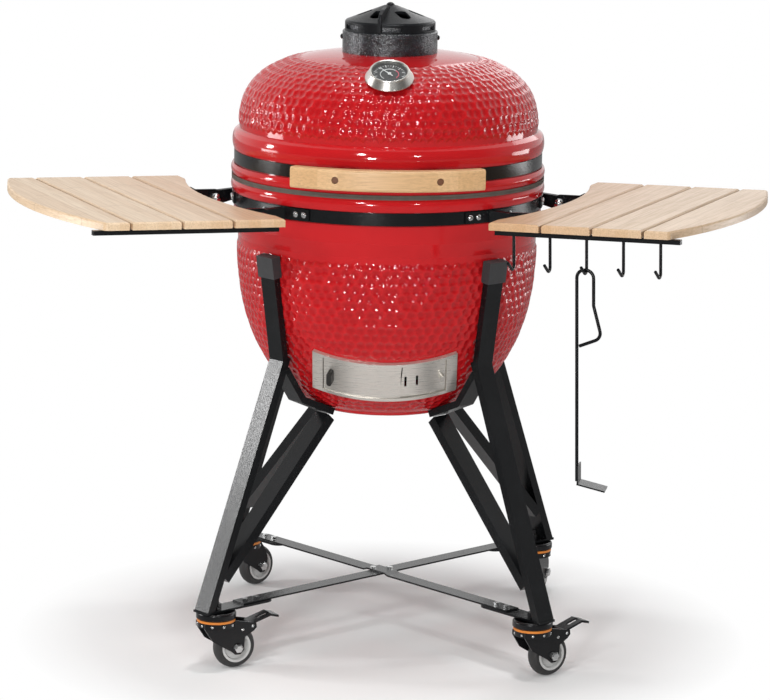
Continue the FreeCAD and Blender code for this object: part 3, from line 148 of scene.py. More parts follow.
white = (1.0, 1.0, 1.0)
room_light = 0.32
studio_dark = 0.10  # the dark room behind the camera, as mirrors see it
dark_from = -0.55  # where it starts to darken and where it is darkest: 1 is straight behind the camera
dark_to = 0.30
world = bpy.data.worlds.new("surround")
bpy.context.scene.world = world
surround = Tree(world)
surround_way = surround.add("ShaderNodeNewGeometry", output="Incoming")
surround_back = surround.add("ShaderNodeSeparateXYZ", values={0: surround_way}, output="Y")
surround_wall = surround.add("ShaderNodeMapRange", values={
    "Value": surround_back, "From Min": dark_from, "From Max": dark_to, "To Min": 1.0, "To Max": studio_dark})
surround_end = surround.either(surround.add("ShaderNodeLightPath", output="Is Camera Ray"), surround_wall)
surround_light = surround.add("ShaderNodeBackground", values={"Color": white, "Strength": room_light})
surround_mirror = surround.add("ShaderNodeBackground", values={"Color": white, "Strength": surround_end})
surround_mix = surround.add("ShaderNodeMixShader", values={
    0: surround.seen(), 1: surround_light, 2: surround_mirror})
surround.close("ShaderNodeOutputWorld", surround_mix)


def soft_box(name, place, aim, size, radiance):
    """A rectangular soft box. The radiance is that of its face."""
    lamp = bpy.data.lights.new(name, "AREA")
    lamp.shape = "RECTANGLE"
    lamp.size, lamp.size_y = size
    lamp.energy = radiance * math.pi * size[0] * size[1]
    box = bpy.data.objects.new(name, lamp)
    box.location = place
    box.rotation_euler = (Vector(aim) - Vector(place)).to_track_quat("-Z", "Y").to_euler()
    bpy.context.scene.collection.objects.link(box)


soft_box("left panel", (-3.1, 0.2, 0.58), (0.0, 0.0, 0.8), (0.9, 0.5), 10.0)
soft_box("left strip", (-3.1, 0.2, 1.35), (0.0, 0.0, 0.5), (0.30, 0.45), 50.0)
soft_box("right panel", (2.9, 1.1, 0.58), (0.0, 0.0, 0.8), (1.2, 0.5), 6.5)
soft_box("key", (-1.5, -4.3, 2.4), (0.0, 0.0, 0.8), (0.40, 0.40), 80.0)
soft_box("fill", (1.6, -4.3, 2.0), (0.0, 0.0, 0.8), (0.26, 0.26), 70.0)
soft_box("low", (-0.9, -4.4, 1.05), (0.0, 0.0, 0.7), (0.34, 0.34), 140.0)
soft_box("front top", (-0.4, -2.2, 3.4), (0.0, 0.0, 0.8), (0.35, 0.30), 42.0)
soft_box("top", (0.1, -0.5, 3.6), (0.0, 0.0, 0.8), (0.45, 0.30), 68.0)
soft_box("rear", (1.4, 3.2, 2.6), (0.0, 0.0, 0.8), (2.0, 1.4), 2.0)


class Finish(Tree):
    """A material on object coordinates, made of expressions on its sockets."""

    def __init__(self, name):
        self.material = bpy.data.materials.new(name)
        super().__init__(self.material)
        self.place = self.add("ShaderNodeTexCoord", output="Object")

    def axis(self, name, vector=None):
        return self.add("ShaderNodeSeparateXYZ", values={0: vector or self.place}, output=name)

    def vector(self, x, y, z):
        return self.add("ShaderNodeCombineXYZ", values={0: x, 1: y, 2: z})

    def turned(self, centre=(0.0, 0.0, 0.0), angles=(0.0, 0.0, 0.0), scale=(1.0, 1.0, 1.0)):
        """Object coordinates seen from a centre, in a turned and stretched frame."""
        moved = self.add("ShaderNodeMapping", {"vector_type": "TEXTURE"},
                         {"Vector": self.place, "Location": centre, "Rotation": angles})
        return self.add("ShaderNodeVectorMath", {"operation": "MULTIPLY"}, {0: moved, 1: scale})

    def noise(self, scale, detail=2.0, rough=0.5, vector=None):
        return self.add("ShaderNodeTexNoise", values={"Vector": vector or self.place, "Scale": scale,
                                                     "Detail": detail, "Roughness": rough})

    def spread(self, value, low, high, start=0.0, end=1.0):
        """A value between two bounds, stretched to run from start to end and held there."""
        return self.add("ShaderNodeMapRange", values={"Value": value, "From Min": low, "From Max": high,
                                                      "To Min": start, "To Max": end})

    def mix(self, share, first, second):
        return self.add("ShaderNodeMix", {"data_type": "RGBA"}, {0: share, 6: first, 7: second}, 2)

    def bump(self, height, distance):
        return self.add("ShaderNodeBump", values={"Height": height, "Distance": distance})

    def surface(self, **sockets):
        values = {name.replace("_", " ").title().replace("Ior", "IOR"): value
                  for name, value in sockets.items()}
        shader = self.add("ShaderNodeBsdfPrincipled", values=values)
        self.close("ShaderNodeOutputMaterial", shader)
        return self


def paint(finish, *names):
    """Give a finish to CAD nodes."""
    for name in names:
        nodes[name].data.materials.clear()
        nodes[name].data.materials.append(finish.material)


def new_piece(name, mesh, body, finish, smooth=True):
    """Turn a bmesh into an object that rides on a body."""
    data = bpy.data.meshes.new(name)
    mesh.to_mesh(data)
    mesh.free()
    data.materials.append(finish.material)
    for face in data.polygons:
        face.use_smooth = smooth
    piece = bpy.data.objects.new(name, data)
    bpy.context.scene.collection.objects.link(piece)
    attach(piece, body)
    return piece


def outward(mesh):
    """Turn the faces of a closed mesh outward."""
    bmesh.ops.recalc_face_normals(mesh, faces=mesh.faces)
    if mesh.calc_volume(signed=True) < 0:
        bmesh.ops.reverse_faces(mesh, faces=mesh.faces)
    return mesh


def lathed(outline, steps=24):
    """A closed turned solid. Its outline of radius and height runs from the Z axis back to it."""
    mesh = bmesh.new()
    line = [mesh.verts.new((radius, 0.0, height)) for radius, height in outline]
    edges = [mesh.edges.new(pair) for pair in zip(line, line[1:])]
    bmesh.ops.spin(mesh, geom=line + edges, cent=(0, 0, 0), axis=(0, 0, 1), angle=2 * math.pi,
                   steps=steps, use_merge=True)
    bmesh.ops.remove_doubles(mesh, verts=mesh.verts, dist=1e-6)
    return outward(mesh)


def rivet(radius, height, sink=0.0004, steps=20):
    """A domed head whose foot lies a little below its seat."""
    dome = [(radius * math.cos(a), height * math.sin(a)) for a in (0.0, 0.4, 0.8, 1.2)]
    return lathed([(0.0, -sink), (radius, -sink)] + dome + [(0.0, height)], steps)


def block(length, width, height, round_off, segments=2):
    """A box about the origin with rounded edges."""
    mesh = bmesh.new()
    bmesh.ops.create_cube(mesh, size=1.0, matrix=Matrix.Diagonal((length, width, height, 1.0)))
    bmesh.ops.bevel(mesh, geom=mesh.edges[:], offset=round_off, affect="EDGES", segments=segments,
                    profile=0.5, material=-1)
    return outward(mesh)


def wired(points, radius, sides=8, closed=False):
    """A round wire along a line of points."""
    mesh = bmesh.new()
    rings = []
    last = len(points) - 1
    side = None
    for index, place in enumerate(points):
        before = points[index - 1] if index or closed else place
        after = points[(index + 1) % len(points)] if index < last or closed else place
        way = (after - before).normalized()
        side = way.orthogonal() if side is None else side - way * side.dot(way)
        side.normalize()
        up = way.cross(side)
        turns = [2 * math.pi * k / sides for k in range(sides)]
        spokes = [math.cos(turn) * side + math.sin(turn) * up for turn in turns]
        rings.append([mesh.verts.new(place + radius * spoke) for spoke in spokes])
    pairs = list(zip(rings, rings[1:])) + ([(rings[-1], rings[0])] if closed else [])
    for low, high in pairs:
        for k in range(sides):
            mesh.faces.new((low[k], low[(k + 1) % sides], high[(k + 1) % sides], high[k]))
    if not closed:
        mesh.faces.new(rings[0])
        mesh.faces.new(rings[-1])
    return outward(mesh)


def gathered(*parts):
    """One mesh of several, each given with the matrix that moves it to its place."""
    mesh = bmesh.new()
    for part, place in parts:
        data = bpy.data.meshes.new("part")
        part.to_mesh(data)
        part.free()
        data.transform(place)
        mesh.from_mesh(data)
        bpy.data.meshes.remove(data)
    return mesh


def facing(place, way):
    """A matrix that moves the origin to a place and turns Z along a way."""
    return Matrix.Translation(place) @ Vector(way).to_track_quat("Z", "Y").to_matrix().to_4x4()


joints = {joint["name"]: joint for joint in frame["joints"]}

floor_mirror = 0.40  # the floor as mirrors see it, away from the stand
shade_radius = 0.38  # within this distance of the middle the floor is plain grey and takes shadows
white_radius = 0.66  # beyond this one it is white
floor_radius = 14.0
floor_finish = Finish("studio floor")
floor_grey = floor_finish.add("ShaderNodeBsdfDiffuse", values={"Color": (0.93, 0.93, 0.93)})
floor_end = floor_finish.add("ShaderNodeLightPath", output="Is Camera Ray").maths("MAXIMUM", floor_mirror)
floor_glow = floor_finish.add("ShaderNodeEmission", values={"Color": white, "Strength": floor_end})
floor_far = floor_finish.add("ShaderNodeVectorMath", {"operation": "LENGTH"}, {0: floor_finish.place}, 1)
floor_share = floor_finish.spread(floor_far, shade_radius, white_radius)
floor_lift = floor_finish.add("ShaderNodeMixShader", values={
    0: floor_finish.seen() * floor_share, 1: floor_grey, 2: floor_glow})
floor_finish.close("ShaderNodeOutputMaterial", floor_lift)
floor_mesh = bmesh.new()
bmesh.ops.create_circle(floor_mesh, cap_ends=True, radius=floor_radius, segments=64)
floor_data = bpy.data.meshes.new("floor")
floor_mesh.to_mesh(floor_data)
floor_mesh.free()
floor_data.materials.append(floor_finish.material)
floor = bpy.data.objects.new("floor", floor_data)
bpy.context.scene.collection.objects.link(floor)


# ---------------------------------------------------------------- glazed ceramic
# The bowl and the dome are thick fired ceramic, dipped in a red glaze.
# The mould gives both a field of small round dimples between their smooth rims.

glaze = Finish("red glaze")
glaze_cloud = glaze.noise(9.0, 3.0)
glaze_pool = glaze.add("ShaderNodeAttribute", {"attribute_name": "dimple"}, output="Fac")
glaze_red = glaze.mix(glaze_cloud, (0.55, 0.013, 0.016), (0.46, 0.008, 0.011))
glaze_deep = glaze.mix(glaze_pool * 0.55, glaze_red, (0.30, 0.003, 0.006))
glaze_skin = glaze.bump(glaze.noise(150.0, 2.0) * 0.12 - glaze_pool, 0.0007)
glaze.surface(base_color=glaze_deep, roughness=0.08, specular_ior_level=0.42, normal=glaze_skin)
paint(glaze, "base_shell", "lid_shell")

dimple_pitch = 0.0160
dimple_reach = 0.57 * dimple_pitch  # from a dimple's middle to its brim
dimple_depth = 0.0021
dimple_stray = 0.19  # how far a dimple strays from its place along a row, as a share of the pitch
dimple_drift = 0.0014  # and how far up or down
skin_lift = 0.0022
skin_sink = 0.0006
fade_width = 0.010
fine_steps = 1600
row_share = 0.866  # rows of a close packing, as a share of the pitch
pitch_give = 0.12  # how far the pitch may differ before the count of a row changes


def skin_profile(radius, height, power, wide_z, low, high, count):
    """Points along a superellipse of revolution, evenly spread, with the length run so far."""
    turns = [math.pi * k / fine_steps for k in range(fine_steps + 1)]
    fine = [low + (high - low) * (1 - math.cos(turn)) / 2 for turn in turns]
    curve = [(radius * (1 - abs((z - wide_z) / height) ** power) ** (1 / power), z) for z in fine]
    runs = [0.0]
    for a, b in zip(curve, curve[1:]):
        runs.append(runs[-1] + math.dist(a, b))
    points = []
    index = 0
    for k in range(count + 1):
        target = runs[-1] * k / count
        while index < len(runs) - 2 and runs[index + 1] < target:
            index += 1
        share = (target - runs[index]) / (runs[index + 1] - runs[index])
        a, b = curve[index], curve[index + 1]
        points.append((a[0] + (b[0] - a[0]) * share, a[1] + (b[1] - a[1]) * share, target))
    return points


def dimple_centres(profile):
    """Rows of dimples, each row half a pitch from the next. A count holds for several rows."""
    centres = []
    length = profile[-1][2]
    rows = int(length / (dimple_pitch * row_share))
    chance = random.Random(7)
    count = 0
    for row in range(rows + 1):
        radius, z = min(profile, key=lambda p: abs(p[2] - (row + 0.5) * length / rows))[:2]
        pitch = 2 * math.pi * radius / max(count, 1)
        if abs(pitch / dimple_pitch - 1) >= pitch_give:
            count = round(2 * math.pi * radius / dimple_pitch)
        for k in range(count):
            stray = chance.uniform(-dimple_stray, dimple_stray)
            drift = chance.uniform(-dimple_drift, dimple_drift)
            angle = 2 * math.pi * (k + row % 2 / 2 + stray) / count
            centres.append(Vector((radius * math.cos(angle), radius * math.sin(angle), z + drift)))
    return centres


draft_slope = math.radians(34.39)
draft_radius = 0.2543
draft_half_angle = math.radians(28.67)
draft_half_length = 0.045
draft_axis = Vector((0.0, -math.sin(draft_slope), math.cos(draft_slope)))
draft_front = Vector((0.0, -math.cos(draft_slope), -math.sin(draft_slope)))
draft_centre = Vector((0.0, 0.005, 0.64765))
draft_margin = 0.005
skin_lap = 0.004  # the skin runs this far past the edge of what it leaves open


def draft_lie(place):
    """Angle round the draft door's cylinder, and place along its leaning axis."""
    reach = place - draft_centre
    return math.atan2(reach.x, reach.dot(draft_front)), reach.dot(draft_axis)


def past_draft(place):
    """How far a point of the bowl lies outside the recess of the draft door's frame."""
    angle, along = draft_lie(place)
    if place.y > 0:
        return 1.0
    return max((abs(angle) - draft_half_angle) * draft_radius, abs(along) - draft_half_length) - draft_margin


def dimpled_skin(name, body, profile, steps, away=None):
    """A skin of dimples over a curve of revolution, closed round, with its edges sunk into the ceramic."""
    mesh = bmesh.new()
    line = [mesh.verts.new((radius, 0.0, z)) for radius, z, run in profile]
    edges = [mesh.edges.new(pair) for pair in zip(line, line[1:])]
    bmesh.ops.spin(mesh, geom=line + edges, cent=(0, 0, 0), axis=(0, 0, 1), angle=2 * math.pi,
                   steps=steps, use_merge=True)
    bmesh.ops.remove_doubles(mesh, verts=mesh.verts, dist=1e-6)
    bmesh.ops.recalc_face_normals(mesh, faces=mesh.faces)
    if sum(face.normal.dot(face.calc_center_median()) for face in mesh.faces) < 0:
        bmesh.ops.reverse_faces(mesh, faces=mesh.faces)
    if away:
        hidden = [face for face in mesh.faces if away(face.calc_center_median()) < -skin_lap]
        bmesh.ops.delete(mesh, geom=hidden, context="FACES")
    mesh.normal_update()
    centres = dimple_centres(profile)
    tree = kdtree.KDTree(len(centres))
    for index, centre in enumerate(centres):
        tree.insert(centre, index)
    tree.balance()
    low, high = profile[0][1], profile[-1][1]
    layer = mesh.verts.layers.float.new("dimple")
    shifts = []
    for vert in mesh.verts:
        nearest = tree.find_n(vert.co, 1)
        hollow = max(0.0, 1 - (nearest[0][2] / dimple_reach) ** 2)
        edge = min(vert.co.z - low, high - vert.co.z)
        if away:
            edge = min(edge, away(vert.co) + skin_lap)
        fade = min(1.0, max(0.0, edge / fade_width))
        fade = fade * fade * (3 - 2 * fade)
        vert[layer] = hollow * fade
        shifts.append(vert.normal * ((skin_lift - dimple_depth * hollow) * fade - skin_sink * (1 - fade)))
    for vert, shift in zip(mesh.verts, shifts):
        vert.co += shift
    return new_piece(name, mesh, body, glaze)


dome_skin = skin_profile(radius=0.263, height=0.149, power=3.0, wide_z=0.905,
                         low=0.921, high=1.0472, count=96)
dimpled_skin("dome_dimples", "lid", dome_skin, 620)
bowl_skin = skin_profile(radius=0.264, height=0.325, power=2.35, wide_z=0.728,
                         low=0.434, high=0.722, count=148)
dimpled_skin("bowl_dimples", "base", bowl_skin, 640, past_draft)


# ---------------------------------------------------------------- inside the bowl
# Unglazed fire clay holds the charcoal and carries the steel cooking grid.
# The clay is sandy and pale; the grate under the charcoal is rough cast iron.

clay = Finish("fire clay")
clay_grit = clay.noise(420.0, 4.0, 0.7)
clay_tone = clay.mix(clay.noise(14.0, 3.0), (0.62, 0.50, 0.38), (0.50, 0.38, 0.27))
clay_speck = clay.mix(clay.spread(clay_grit, 0.60, 0.66), clay_tone, (0.22, 0.15, 0.10))
clay.surface(base_color=clay_speck, roughness=0.92, normal=clay.bump(clay_grit, 0.0006))
paint(clay, "fire_box", "fire_ring")

iron = Finish("cast iron")
iron_grain = iron.noise(520.0, 4.0, 0.62)
iron_patch = iron.noise(75.0, 3.0, 0.6)
iron_tone = iron.mix(iron.spread(iron_patch, 0.38, 0.62), (0.006, 0.007, 0.009), (0.018, 0.020, 0.027))
iron_rough = iron.spread(iron_grain, 0.3, 0.7, 0.20, 0.36)
iron.surface(base_color=iron_tone, metallic=0.30, specular_ior_level=1.0, roughness=iron_rough,
             normal=iron.bump(iron_grain * 0.35 + iron_patch * 1.6, 0.0016))
paint(iron, "charcoal_grate", "vent_collar")


def brushed(name, stretch, tone=(0.66, 0.64, 0.60), metal=1.0):
    """Stainless steel with fine scratches, drawn out along one direction."""
    steel = Finish(name)
    scratch = steel.noise(1.0, 3.0, 0.6, steel.turned(scale=stretch))
    smudge = steel.noise(22.0, 3.0)
    colour = steel.mix(smudge, tone, tuple(0.93 * part for part in tone))
    rough = steel.spread(scratch, 0.3, 0.7, 0.26, 0.32)
    return steel.surface(base_color=colour, metallic=metal, roughness=rough,
                         normal=steel.bump(scratch, 0.00002))


grid_steel = brushed("grid wire", (120.0, 120.0, 120.0))
paint(grid_steel, "cooking_grid")


# ---------------------------------------------------------------- felt seal
# A woven heat-proof felt, grey-brown from use, seals the lid on the bowl.
# One ring is glued to each rim, so the lid closes softly and tight.

felt = Finish("woven felt")
felt_fuzz = felt.noise(900.0, 3.0, 0.7)
felt_tone = felt.mix(felt.noise(60.0, 3.0), (0.085, 0.070, 0.060), (0.150, 0.125, 0.105))
felt.surface(base_color=felt_tone, roughness=0.95, normal=felt.bump(felt_fuzz, 0.0008))
paint(felt, "base_gasket", "lid_gasket")


# ---------------------------------------------------------------- black steelwork
# Bands, brackets, shelf frames and the stand are steel with a satin black powder coat.
# The coat has a faint orange peel, and dust and rubbing grey it a little in places.

coat = Finish("powder coat")
coat_peel = coat.noise(1300.0, 2.0, 0.6)
coat_dust = coat.spread(coat.noise(16.0, 4.0, 0.6), 0.5, 0.75)
coat_tone = coat.mix(coat_dust * 0.4, (0.0045, 0.0050, 0.0058), (0.012, 0.013, 0.015))
coat_rough = coat.spread(coat_dust, 0.0, 1.0, 0.20, 0.24)
coat.surface(base_color=coat_tone, specular_ior_level=0.28, roughness=coat_rough,
             normal=coat.bump(coat_peel, 0.00010))
paint(coat, "base_band", "lid_band", "hinge_base_bracket", "hinge_lid_bracket", "shelf_brackets",
      "left_shelf_frame", "right_shelf_frame", "shelf_hooks", "stand_legs", "cross_bars",
      "handle_brackets", "ash_rake")

gloss = Finish("gloss black")
gloss_tone = gloss.mix(gloss.noise(30.0, 3.0), (0.005, 0.005, 0.006), (0.010, 0.010, 0.011))
gloss.surface(base_color=gloss_tone, specular_ior_level=0.3, roughness=0.22,
              normal=gloss.bump(gloss.noise(700.0), 0.00008))
braked = ("front_left", "front_right")
corners = ("front_left", "front_right", "rear_left", "rear_right")
paint(gloss, "vent_bolts", "caster_mounts", *[f"{corner}_fork" for corner in corners],
      *[f"{corner}_pedal" for corner in braked])


# ---------------------------------------------------------------- bolts and pins
# Band, shelf and stand bolts and the hinge pin are steel with a bright zinc plating.
# The two bolts of the handle are browned, and show as round heads in the bamboo.

zinc = Finish("bright zinc")
zinc_tone = zinc.mix(zinc.noise(140.0, 3.0), (0.72, 0.72, 0.70), (0.52, 0.53, 0.55))
zinc.surface(base_color=zinc_tone, metallic=1.0, roughness=0.24,
             normal=zinc.bump(zinc.noise(900.0), 0.00006))
paint(zinc, "base_band_bolts", "lid_band_bolt", "hinge_pin", "shelf_pivot_bolts", "stand_bolts")

bronze = Finish("browned bolt")
bronze_tone = bronze.mix(bronze.noise(120.0), (0.20, 0.080, 0.035), (0.11, 0.045, 0.022))
bronze.surface(base_color=bronze_tone, roughness=0.5)
paint(bronze, "handle_bolts")


# ---------------------------------------------------------------- hinge springs
# Two closely wound steel springs stand side by side behind the bowl and carry the lid's weight.
# They are hooked into the two hinge brackets. The real springs shorten as the lid opens; these ride the bowl
# at one length.

spring = Finish("spring steel")
spring_tone = spring.mix(spring.noise(90.0), (0.36, 0.36, 0.37), (0.24, 0.24, 0.26))
spring.surface(base_color=spring_tone, metallic=1.0, roughness=0.33)
paint(spring, "hinge_springs")

spring_low, spring_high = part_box("hinge_springs")
spring_wire = 0.0026
spring_turns = 30
spring_steps = 20  # points in each turn
spring_clear = 0.0003
spring_y = (spring_low[1] + spring_high[1]) / 2
spring_outer = (spring_high[1] - spring_low[1]) / 2
spring_radius = spring_outer - spring_wire / 2 - spring_clear
spring_rise = spring_high[2] - spring_low[2] - spring_wire
spring_count = spring_turns * spring_steps


def coil(x):
    """One spring, wound about an upright line at x."""
    points = []
    for k in range(spring_count + 1):
        share = k / spring_count
        angle = 2 * math.pi * spring_turns * share
        height = spring_low[2] + spring_wire / 2 + spring_rise * share
        depth = spring_y + spring_radius * math.sin(angle)
        points.append(Vector((x + spring_radius * math.cos(angle), depth, height)))
    return wired(points, spring_wire / 2, 8)


coil_places = (spring_low[0] + spring_outer, spring_high[0] - spring_outer)
coil_pair = gathered(*[(coil(x), Matrix()) for x in coil_places])
coils = new_piece("spring_coils", coil_pair, "base", spring)
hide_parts("hinge_springs")
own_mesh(coils)


# ---------------------------------------------------------------- vent cap
# A cast-iron cap with a satin black coat turns on the collar of rougher iron.
# Its petals uncover windows that let the smoke out.

cap_black = Finish("satin cap")
cap_grain = cap_black.noise(650.0, 3.0, 0.6)
cap_tone = cap_black.mix(cap_black.noise(40.0, 3.0), (0.006, 0.007, 0.008), (0.014, 0.015, 0.017))
cap_black.surface(base_color=cap_tone, specular_ior_level=0.14, roughness=0.30, metallic=0.2,
                  normal=cap_black.bump(cap_grain, 0.0004))
paint(cap_black, "vent_cap")


# ---------------------------------------------------------------- draft door
# A frame, a door and a slotted screen of brushed stainless sheet are bent to one leaning cylinder.
# The frame is riveted to the bowl, and door and screen slide in its two lips.

draft_steel = brushed("draft door steel", (26.0, 26.0, 1500.0), tone=(0.70, 0.67, 0.62), metal=0.72)
paint(draft_steel, "draft_frame", "draft_door", "draft_screen", "draft_screen_knob")
draft_face = draft_radius + 0.0030  # the outer face of the frame's ends
draft_rivet_angle = draft_half_angle - math.radians(2.1)
draft_rivet_reach = draft_half_length - 0.0075


def on_draft(angle, along, radius):
    """A matrix on the draft door's cylinder, with Z facing out of it."""
    way = math.cos(angle) * draft_front + math.sin(angle) * Vector((1.0, 0.0, 0.0))
    return facing(draft_centre + radius * way + along * draft_axis, way)


# A thin dark strip along the door's right edge is a painted shadow. It stands for the shade in the slit at
# that edge and is no part of the door.
door_shadow_gap = Finish("painted shadow gap")
shadow_gap_tone = door_shadow_gap.mix(door_shadow_gap.noise(60.0), (0.020, 0.018, 0.016), (0.055, 0.050, 0.045))
door_shadow_gap.surface(base_color=shadow_gap_tone, metallic=0.6, roughness=0.5)
shadow_gap_width = 0.0016
shadow_gap_length = 0.072
shadow_gap_place = on_draft(math.radians(6.2), 0.0, draft_radius + 0.0040)
shadow_gap_strip = gathered((block(shadow_gap_width, shadow_gap_length, shadow_gap_width, 0.0005), shadow_gap_place))
new_piece("draft_door_shadow_gap", shadow_gap_strip, "draft_door", door_shadow_gap)

draft_rivet_places = [on_draft(side * draft_rivet_angle, end * draft_rivet_reach, draft_face)
                      for side in (-1, 1) for end in (-1, 1)]
draft_rivets = gathered(*[(rivet(0.0032, 0.0016, sink=0.0012), place) for place in draft_rivet_places])
new_piece("draft_rivets", draft_rivets, "base", draft_steel)

knob = Finish("moulded knob")
knob_tone = knob.mix(knob.noise(60.0), (0.012, 0.010, 0.010), (0.022, 0.019, 0.018))
knob.surface(base_color=knob_tone, roughness=0.45, normal=knob.bump(knob.noise(900.0), 0.0001))
paint(knob, "draft_door_knob")


# ---------------------------------------------------------------- post caps
# Soft rubber caps are pushed over the tops of the four posts.
# They keep the steel off the glaze where the bowl leans on the stand.

rubber = Finish("cap rubber")
rubber_tone = rubber.mix(rubber.noise(50.0, 3.0), (0.022, 0.023, 0.025), (0.040, 0.041, 0.044))
rubber.surface(base_color=rubber_tone, roughness=0.62, normal=rubber.bump(rubber.noise(900.0, 3.0), 0.0003))
paint(rubber, "post_caps")


# ---------------------------------------------------------------- bamboo
# Handle and shelf slats are laminated from narrow bamboo strips, planed and oiled.
# Each strip has its own tone, fine long fibres, and a knuckle line here and there.

def bamboo(name, angle, strip, knuckle_share=0.45, warmth=0.45,
           light=(0.84, 0.66, 0.46), dark=(0.66, 0.44, 0.25)):
    """Bamboo whose strips run along an angle from Y. It is warmer towards the grill by warmth."""
    wood = Finish(name)
    lie = wood.turned(angles=(0.0, 0.0, angle))
    across, length, height = [wood.axis(axis, lie) for axis in "XYZ"]
    number = (across / strip).maths("FLOOR")
    own = wood.add("ShaderNodeTexWhiteNoise", {"noise_dimensions": "1D"}, {"W": number})
    fibre = wood.noise(1.0, 4.0, 0.65, wood.vector(across * 380.0, length * 9.0, height * 380.0))
    cloud = wood.noise(1.0, 2.0, 0.5, wood.vector(across * 40.0, length * 5.0, height * 40.0))
    knuckle = ((length / 0.21 + own * 7.3).maths("FRACT") - 0.5).maths("ABSOLUTE")
    knuckle_line = wood.spread(knuckle, 0.0, 0.012, 1.0, 0.0)
    tone = wood.mix(own * 0.50 + cloud * 0.35, light, dark)
    warm = wood.spread(across.maths("ABSOLUTE"), 0.40, 0.56, warmth, 0.0)
    tone = wood.mix(warm, tone, (0.58, 0.29, 0.12))
    grained = wood.mix(wood.spread(fibre, 0.42, 0.72) * 0.55, tone, tuple(0.62 * part for part in dark))
    marked = wood.mix(knuckle_line * knuckle_share, grained, (0.30, 0.17, 0.07))
    return wood.surface(base_color=marked, roughness=wood.spread(fibre, 0.3, 0.7, 0.36, 0.5),
                        normal=wood.bump(fibre, 0.00025), coat_weight=0.25, coat_roughness=0.25)


shelf_turn = math.radians(23.2)
shelf_strip = 0.0221
left_bamboo = bamboo("left shelf bamboo", shelf_turn, shelf_strip)
# The right shelf is the same bamboo as the left. Its darker tones are painted shade, because less light falls
# on that side.
right_bamboo_shaded = bamboo("right shelf bamboo in painted shade", -shelf_turn, shelf_strip,
                      light=(0.68, 0.49, 0.32), dark=(0.54, 0.34, 0.17))
handle_bamboo = bamboo("handle bamboo", math.pi / 2, 0.011, knuckle_share=0.0, warmth=0.0,
                       light=(0.75, 0.49, 0.26), dark=(0.60, 0.36, 0.165))
paint(left_bamboo, "left_shelf_slats")
paint(right_bamboo_shaded, "right_shelf_slats")
paint(handle_bamboo, "lid_handle")


# ---------------------------------------------------------------- temperature gauge
# A black printed dial lies under glass in a wide steel bezel, with a pale pointer.
# Its stem passes through a hole in the dome and feels the heat inside.

gauge_steel = brushed("gauge steel", (700.0, 700.0, 700.0))
paint(gauge_steel, "gauge_bezel", "gauge_stem")

dial = Finish("printed dial")
dial_tone = dial.mix(dial.noise(300.0), (0.010, 0.010, 0.011), (0.016, 0.016, 0.018))
dial.surface(base_color=dial_tone, roughness=0.5)
paint(dial, "gauge_dial")

pointer = Finish("pointer white")
pointer_tone = pointer.mix(pointer.noise(200.0), (0.85, 0.85, 0.84), (0.78, 0.78, 0.77))
pointer.surface(base_color=pointer_tone, roughness=0.4)
paint(pointer, "gauge_needle")

gauge_low, gauge_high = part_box("gauge_dial")
dial_middle = (Vector(gauge_low) + Vector(gauge_high)) / 2
dial_radius = (gauge_high[0] - gauge_low[0]) / 2
dial_edge_lean = 0.013  # what the dial's thickness adds to its lean, as its box shows it
dial_lean = math.asin((gauge_high[2] - gauge_low[2]) / 2 / dial_radius) - dial_edge_lean
dial_place = Matrix.Translation(dial_middle) @ Matrix.Rotation(dial_lean, 4, "X")
mark_lift = 0.00055
mark_sweep = math.radians(270)
mark_count = 28
mark_reach = 0.92 * dial_radius
ring_radius = 0.52 * dial_radius
ring_steps = 40


def dial_mark(index):
    """A tick of the scale: every third one is long and broad."""
    angle = -mark_sweep / 2 + mark_sweep * index / (mark_count - 1)
    long = index % 3 == 0
    length = dial_radius * (0.20 if long else 0.11)
    tick = block(0.0013 if long else 0.0006, length, 0.0003, 0.00005, 1)
    place = Matrix.Translation((0, mark_reach - length / 2, mark_lift))
    return tick, dial_place @ Matrix.Rotation(-angle, 4, "Z") @ place


def dial_ring(wire, start, sweep):
    """An arc on the dial, from a start angle through a sweep."""
    angles = [start + sweep * k / ring_steps for k in range(ring_steps + 1)]
    points = [Vector((ring_radius * math.sin(a), ring_radius * math.cos(a), mark_lift)) for a in angles]
    return wired(points, wire, 6), dial_place


dial_ticks = [dial_mark(index) for index in range(mark_count)]
marks = gathered(*dial_ticks, dial_ring(wire=0.0007, start=-2.5, sweep=3.2))
new_piece("dial_marks", marks, "lid", pointer)
zone = Finish("dial zone")
zone_tone = zone.mix(zone.noise(200.0), (0.72, 0.10, 0.16), (0.62, 0.07, 0.12))
zone.surface(base_color=zone_tone, roughness=0.4)
new_piece("dial_zone", gathered(dial_ring(wire=0.0010, start=0.8, sweep=1.5)), "lid", zone)

glass = Finish("gauge glass")
glass_clear = glass.add("ShaderNodeBsdfTransparent", values={"Color": (0.97, 0.98, 0.98)})
glass_gloss = glass.add("ShaderNodeBsdfGlossy", values={"Color": white, "Roughness": 0.03})
glass_back = glass.add("ShaderNodeNewGeometry", output="Backfacing")
glass_share = glass.add("ShaderNodeFresnel", values={"IOR": 1.45}) * (1.0 - glass_back)
glass.close("ShaderNodeOutputMaterial",
            glass.add("ShaderNodeMixShader", values={0: glass_share, 1: glass_clear, 2: glass_gloss}))
paint(glass, "gauge_glass")


# ---------------------------------------------------------------- casters
# Moulded rubber tyres run on pale plastic hubs, in pressed steel forks under orange dust seals.
# Zinc nuts close the axles. Rivets hold the crowns together, and the pedals of the front pair.

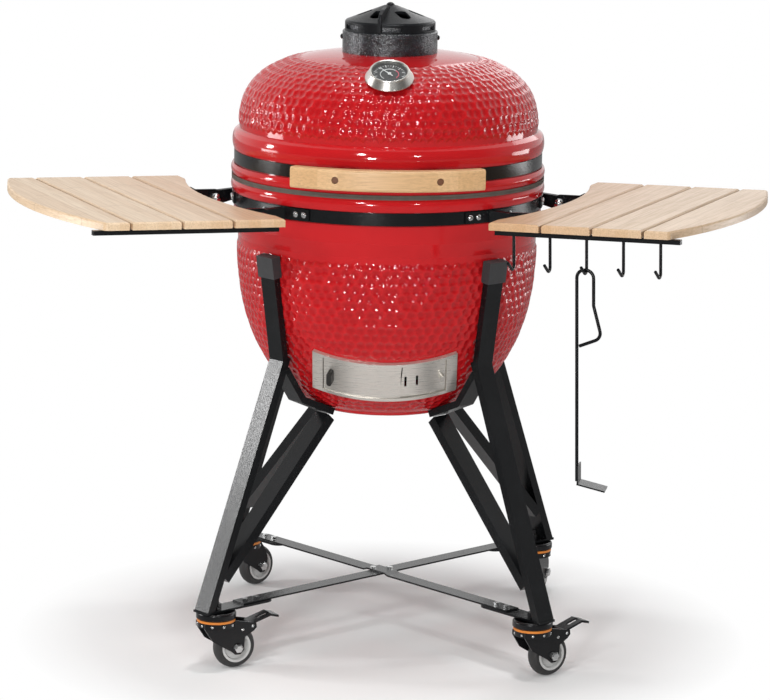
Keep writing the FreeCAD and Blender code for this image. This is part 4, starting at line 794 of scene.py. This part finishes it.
tyre = Finish("tyre rubber")
tyre_tone = tyre.mix(tyre.noise(45.0, 4.0, 0.6), (0.016, 0.016, 0.017), (0.035, 0.034, 0.033))
tyre.surface(base_color=tyre_tone, roughness=0.55, normal=tyre.bump(tyre.noise(500.0, 3.0), 0.0002))
hub = Finish("hub plastic")
hub_tone = hub.mix(hub.noise(45.0, 3.0), (0.60, 0.60, 0.59), (0.48, 0.48, 0.47))
hub.surface(base_color=hub_tone, roughness=0.38, normal=hub.bump(hub.noise(600.0), 0.00008))
orange = Finish("orange seal")
orange_tone = orange.mix(orange.noise(80.0, 3.0), (0.78, 0.26, 0.03), (0.62, 0.18, 0.02))
orange.surface(base_color=orange_tone, roughness=0.4)
paint(tyre, *[f"{corner}_tyre" for corner in corners])
paint(hub, *[f"{corner}_hub" for corner in corners])
paint(orange, "caster_seals")

fork_half = 0.01825  # from the wheel's middle plane to the outside of a cheek
crown_radius = 0.0330
crown_level = 0.0825
crown_rivets = 10
axle_nut = [(0.0, -0.0003), (0.0082, -0.0003), (0.0086, 0.0008),
            (0.0082, 0.0052), (0.0050, 0.0062), (0.0, 0.0064)]  # radius and height
cheek_rivets = ((0.062, 0.0745), (0.043, 0.070))  # trail and height: the pedal's pin, and one before it


def caster_fasteners(corner):
    """Zinc axle nuts, rivets round the crown, and rivets through the cheeks of a braked fork."""
    swivel = Vector(joints[corner + "_swivel"]["pos_m"])
    wheel = Vector(joints[corner + "_roll"]["pos_m"])
    trail = Vector((wheel.x - swivel.x, wheel.y - swivel.y, 0.0)).normalized()
    aside = Vector((-trail.y, trail.x, 0.0))
    crown = Vector((swivel.x, swivel.y, crown_level))
    nuts = []
    heads = []
    for side in (-1, 1):
        nuts.append((lathed(axle_nut, 6), facing(wheel + side * fork_half * aside, side * aside)))
        for reach, height in (cheek_rivets if corner in braked else ()):
            place = Vector((swivel.x, swivel.y, height)) + reach * trail + side * fork_half * aside
            heads.append((rivet(0.0028, 0.0016), facing(place, side * aside)))
    for k in range(crown_rivets):
        way = Matrix.Rotation(2 * math.pi * (k + 0.5) / crown_rivets, 3, "Z") @ trail
        heads.append((rivet(0.0024, 0.0012), facing(crown + crown_radius * way, way)))
    new_piece(corner + "_axle_nuts", gathered(*nuts), corner + "_fork", zinc, False)
    new_piece(corner + "_rivets", gathered(*heads), corner + "_fork", zinc)


for corner in corners:
    caster_fasteners(corner)
